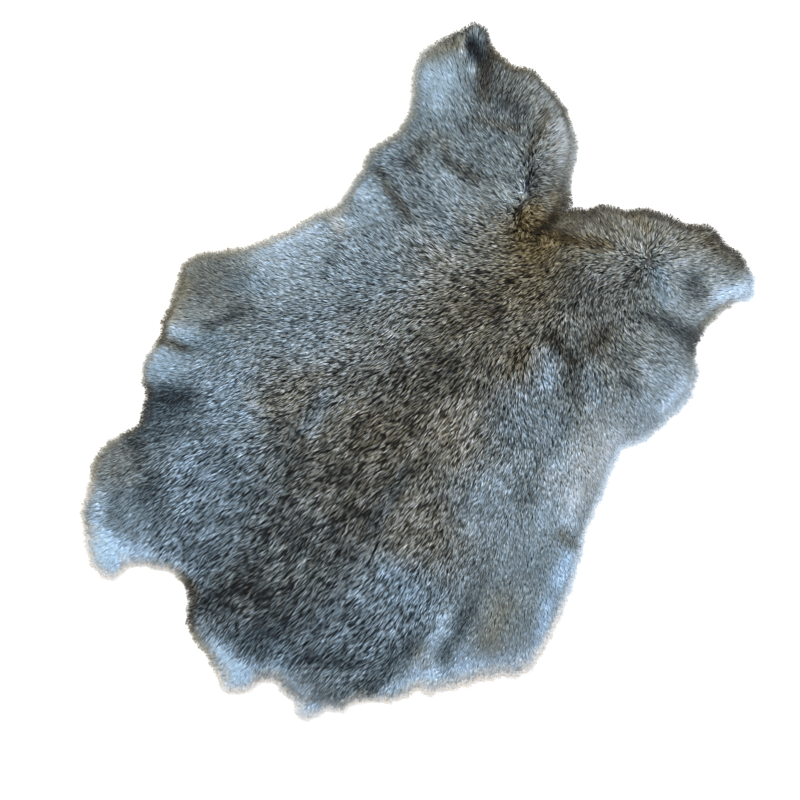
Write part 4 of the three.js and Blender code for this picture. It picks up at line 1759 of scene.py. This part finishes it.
    def _heights(
        self,
        x: np.ndarray,
        y: np.ndarray,
        tip_x: np.ndarray,
        tip_y: np.ndarray,
        lift: np.ndarray,
    ) -> tuple[np.ndarray, np.ndarray]:
        """Works out the heights of roots and tips: the tips reach the relief's top.

        Args:
            x: Each root's place across, in mm.
            y: Each root's place along, in mm.
            tip_x: Each tip's place across, in mm.
            tip_y: Each tip's place along, in mm.
            lift: How far each tip is raised or sunk, less where the coat is thin.

        Returns:
            Heights of the roots and of the tips, in mm.
        """
        relief = self.relief
        base = self.skin.top(x, y)
        depth = np.maximum(relief.at(relief.top, x, y) - base, self.least_depth)
        root_z = base + self.root_depth * depth
        tip_base = self.skin.top(tip_x, tip_y)
        full = relief.at(relief.top, tip_x, tip_y)
        share = np.clip((full - tip_base) / self.lifted_depth, self.least_lift, 1)
        return root_z, np.maximum(full + lift * share, self.tip_floor.at(tip_base))


@dataclass
class RimFringe:
    """Fine hairs that stand out all round the rim: cream at the tail, brown at the neck."""

    relief: Relief = field(repr=False)
    coat_map: CoatMap = field(repr=False)
    skin: Skin = field(repr=False)
    # Roots are thrown over the whole box, and those in a band along the rim are kept, in mm
    throws: int = 370000
    depth: float = 5.0
    beyond: float = 0.6
    width: tuple[float, float] = (0.22, 0.42)
    # A hair runs over a share of its way to the rim, and by this many mm more
    rim_run: tuple[float, float] = (0.6, 1.0)
    past_run: tuple[float, float] = (0.0, 2.8)
    least_run: float = 1.8
    # Share of the coat's combing in its way, and the degrees that it strays
    comb_share: float = 0.6
    stray: float = 20.0
    # Roots rise by a share of their way in from the rim. Tips stand at a share of the skin's
    # height, lower or higher by so many mm, but never under the least height
    root_rise: tuple[float, float] = (0.0, 0.5)
    tip_share: float = 0.6
    tip_rise: tuple[float, float] = (-0.4, 1.8)
    least_height: float = 0.4
    arch: float = 0.25
    # The rim's own colour fills the hairs at the rim and fades to the band's inner side
    rim_colour: float = 1.1
    light_noise: float = 0.06
    warm_noise: float = 0.1
    seed: int = 12

    def build(self, material: bpy.types.Material) -> bpy.types.Object:
        """Grows the fringe.

        Args:
            material: The hair's material.

        Returns:
            The piece.
        """
        relief, coat = self.relief, self.coat_map
        rng = np.random.default_rng(self.seed)
        x = rng.uniform(relief.xs[0], relief.xs[-1], self.throws)
        y = rng.uniform(relief.ys[0], relief.ys[-1], self.throws)
        rim = relief.at(relief.rim, x, y)
        kept = (rim > -self.beyond) & (rim < self.depth)
        x, y, rim = x[kept], y[kept], rim[kept]
        root, tip = self._ends(x, y, rim, rng)
        outer = np.clip(self.rim_colour - rim / self.depth, 0, 1)
        light, warm = relief.at(coat.light, x, y), relief.at(coat.warm, x, y)
        light += (relief.at(coat.rim_light, x, y) - light) * outer
        warm += (relief.at(coat.rim_warm, x, y) - warm) * outer
        count = len(x)
        hairs = Strands(
            root,
            (root + tip) / 2 + np.array((0.0, 0.0, self.arch)),
            tip,
            rng.uniform(*self.width, count),
            np.full(count, HairKind.PLAIN.value),
            warm + rng.normal(0, self.warm_noise, count),
            light + rng.normal(0, self.light_noise, count),
        )
        return HairMesh("rim_fringe", hairs).build(material)

    def _ends(
        self, x: np.ndarray, y: np.ndarray, rim: np.ndarray, rng: np.random.Generator
    ) -> tuple[np.ndarray, np.ndarray]:
        """Works out where the hairs start and end: they lean outwards and a little as combed.

        Args:
            x: Each root's place across, in mm.
            y: Each root's place along, in mm.
            rim: Each root's distance in from the rim, in mm.
            rng: The fringe's random numbers.

        Returns:
            Roots and tips, in mm.
        """
        relief, coat, count = self.relief, self.coat_map, len(x)
        way_x = relief.at(relief.outward_x, x, y) + self.comb_share * relief.at(coat.comb_x, x, y)
        way_y = relief.at(relief.outward_y, x, y) + self.comb_share * relief.at(coat.comb_y, x, y)
        heading = np.arctan2(way_x, way_y) + np.radians(rng.normal(0, self.stray, count))
        run = rim * rng.uniform(*self.rim_run, count) + rng.uniform(*self.past_run, count)
        run = np.maximum(run, self.least_run)
        tip_x, tip_y = x + run * np.sin(heading), y + run * np.cos(heading)
        root_z = self.skin.top(x, y) + rng.uniform(*self.root_rise, count) * rim
        tip_z = self.skin.top(tip_x, tip_y) * self.tip_share + rng.uniform(*self.tip_rise, count)
        return (
            np.stack([x, y, root_z], 1),
            np.stack([tip_x, tip_y, np.maximum(tip_z, self.least_height)], 1),
        )


@dataclass(frozen=True)
class SoftBox:
    """A square soft light: its place by the picture's right and up, height and side, in metres."""

    name: str
    right: float
    up: float
    height: float
    side: float
    watts: float
    colour: str

    def hang(self, picture_turn: float) -> None:
        """Hangs the light so that it looks at the pelt.

        Args:
            picture_turn: How far the picture's right is turned from X, in degrees.
        """
        light = bpy.data.lights.new(self.name, "AREA")
        light.size = self.side
        light.energy = self.watts
        light.color = linear(self.colour)[:3]
        lamp = bpy.data.objects.new(self.name, light)
        bpy.context.scene.collection.objects.link(lamp)
        turn = Matrix.Rotation(math.radians(picture_turn), 3, "Z")
        lamp.location = turn @ Vector((self.right, self.up, self.height))
        lamp.rotation_euler = (-lamp.location).to_track_quat("-Z", "Y").to_euler()


@dataclass
class Studio:
    """Pale floor, soft light and the camera straight above."""

    # Degrees that the picture is turned, and its width in mm at the fur's usual height
    picture_turn: float = 34.0
    picture_width: float = 464.0
    fur_height: float = 11.0
    lens: float = 50.0
    sensor: float = 36.0
    # Side of the floor, in metres
    floor_size: float = 8.0
    sky_colour: str = "#f4f7fb"
    sky_strength: float = 0.8
    lights: tuple[SoftBox, ...] = (
        SoftBox("key", -0.7, 0.8, 1.6, 0.9, 26.0, "#fffaf2"),
        SoftBox("fill", 0.8, -0.2, 1.5, 1.4, 18.0, "#eef4ff"),
    )

    def build(self) -> None:
        """Sets up the floor, the lights and the camera."""
        self._floor()
        self._sky()
        for light in self.lights:
            light.hang(self.picture_turn)
        self._camera()

    def _floor(self) -> None:
        """Lays a wide plain floor under the pelt."""
        deselect_all()
        bpy.ops.mesh.primitive_plane_add(size=self.floor_size)
        floor = bpy.context.object
        floor.name = "floor"
        floor.data.materials.append(WhiteCard().build())

    def _sky(self) -> None:
        """Fills the room with even pale light."""
        world = bpy.data.worlds.new("pale_room")
        world.use_nodes = True
        sky = world.node_tree.nodes["Background"]
        sky.inputs["Color"].default_value = linear(self.sky_colour)
        sky.inputs["Strength"].default_value = self.sky_strength
        bpy.context.scene.world = world

    def _camera(self) -> None:
        """Looks straight down, turned so that the neck points to the picture's upper right."""
        data = bpy.data.cameras.new("above")
        data.lens = self.lens
        data.sensor_width = self.sensor
        camera = bpy.data.objects.new("above", data)
        bpy.context.scene.collection.objects.link(camera)
        away = self.picture_width * self.lens / self.sensor + self.fur_height
        camera.location = (-TABLE_MIDDLE[0] * MM, -TABLE_MIDDLE[1] * MM, away * MM)
        camera.rotation_euler = (0, 0, math.radians(self.picture_turn))
        bpy.context.scene.camera = camera
        bpy.context.scene.view_settings.view_transform = "Standard"


def main() -> None:
    """Builds the pelt from the skin up, then the floor, light and camera."""
    logging.basicConfig(level=logging.INFO, format="%(name)s: %(message)s")
    relief = Relief(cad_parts[NODE])
    coat_map = CoatMap(relief)
    skin_layer = Skin(relief, coat_map)
    skin = skin_layer.build()
    wool = Underfur(relief, coat_map, skin_layer).build()
    hair = AgoutiHair().build()
    coat = Coat(relief, coat_map, skin_layer).build(hair)
    fringe = RimFringe(relief, coat_map, skin_layer).build(hair)
    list(coat)
    Studio().build()


if __name__ == "__main__":
    main()
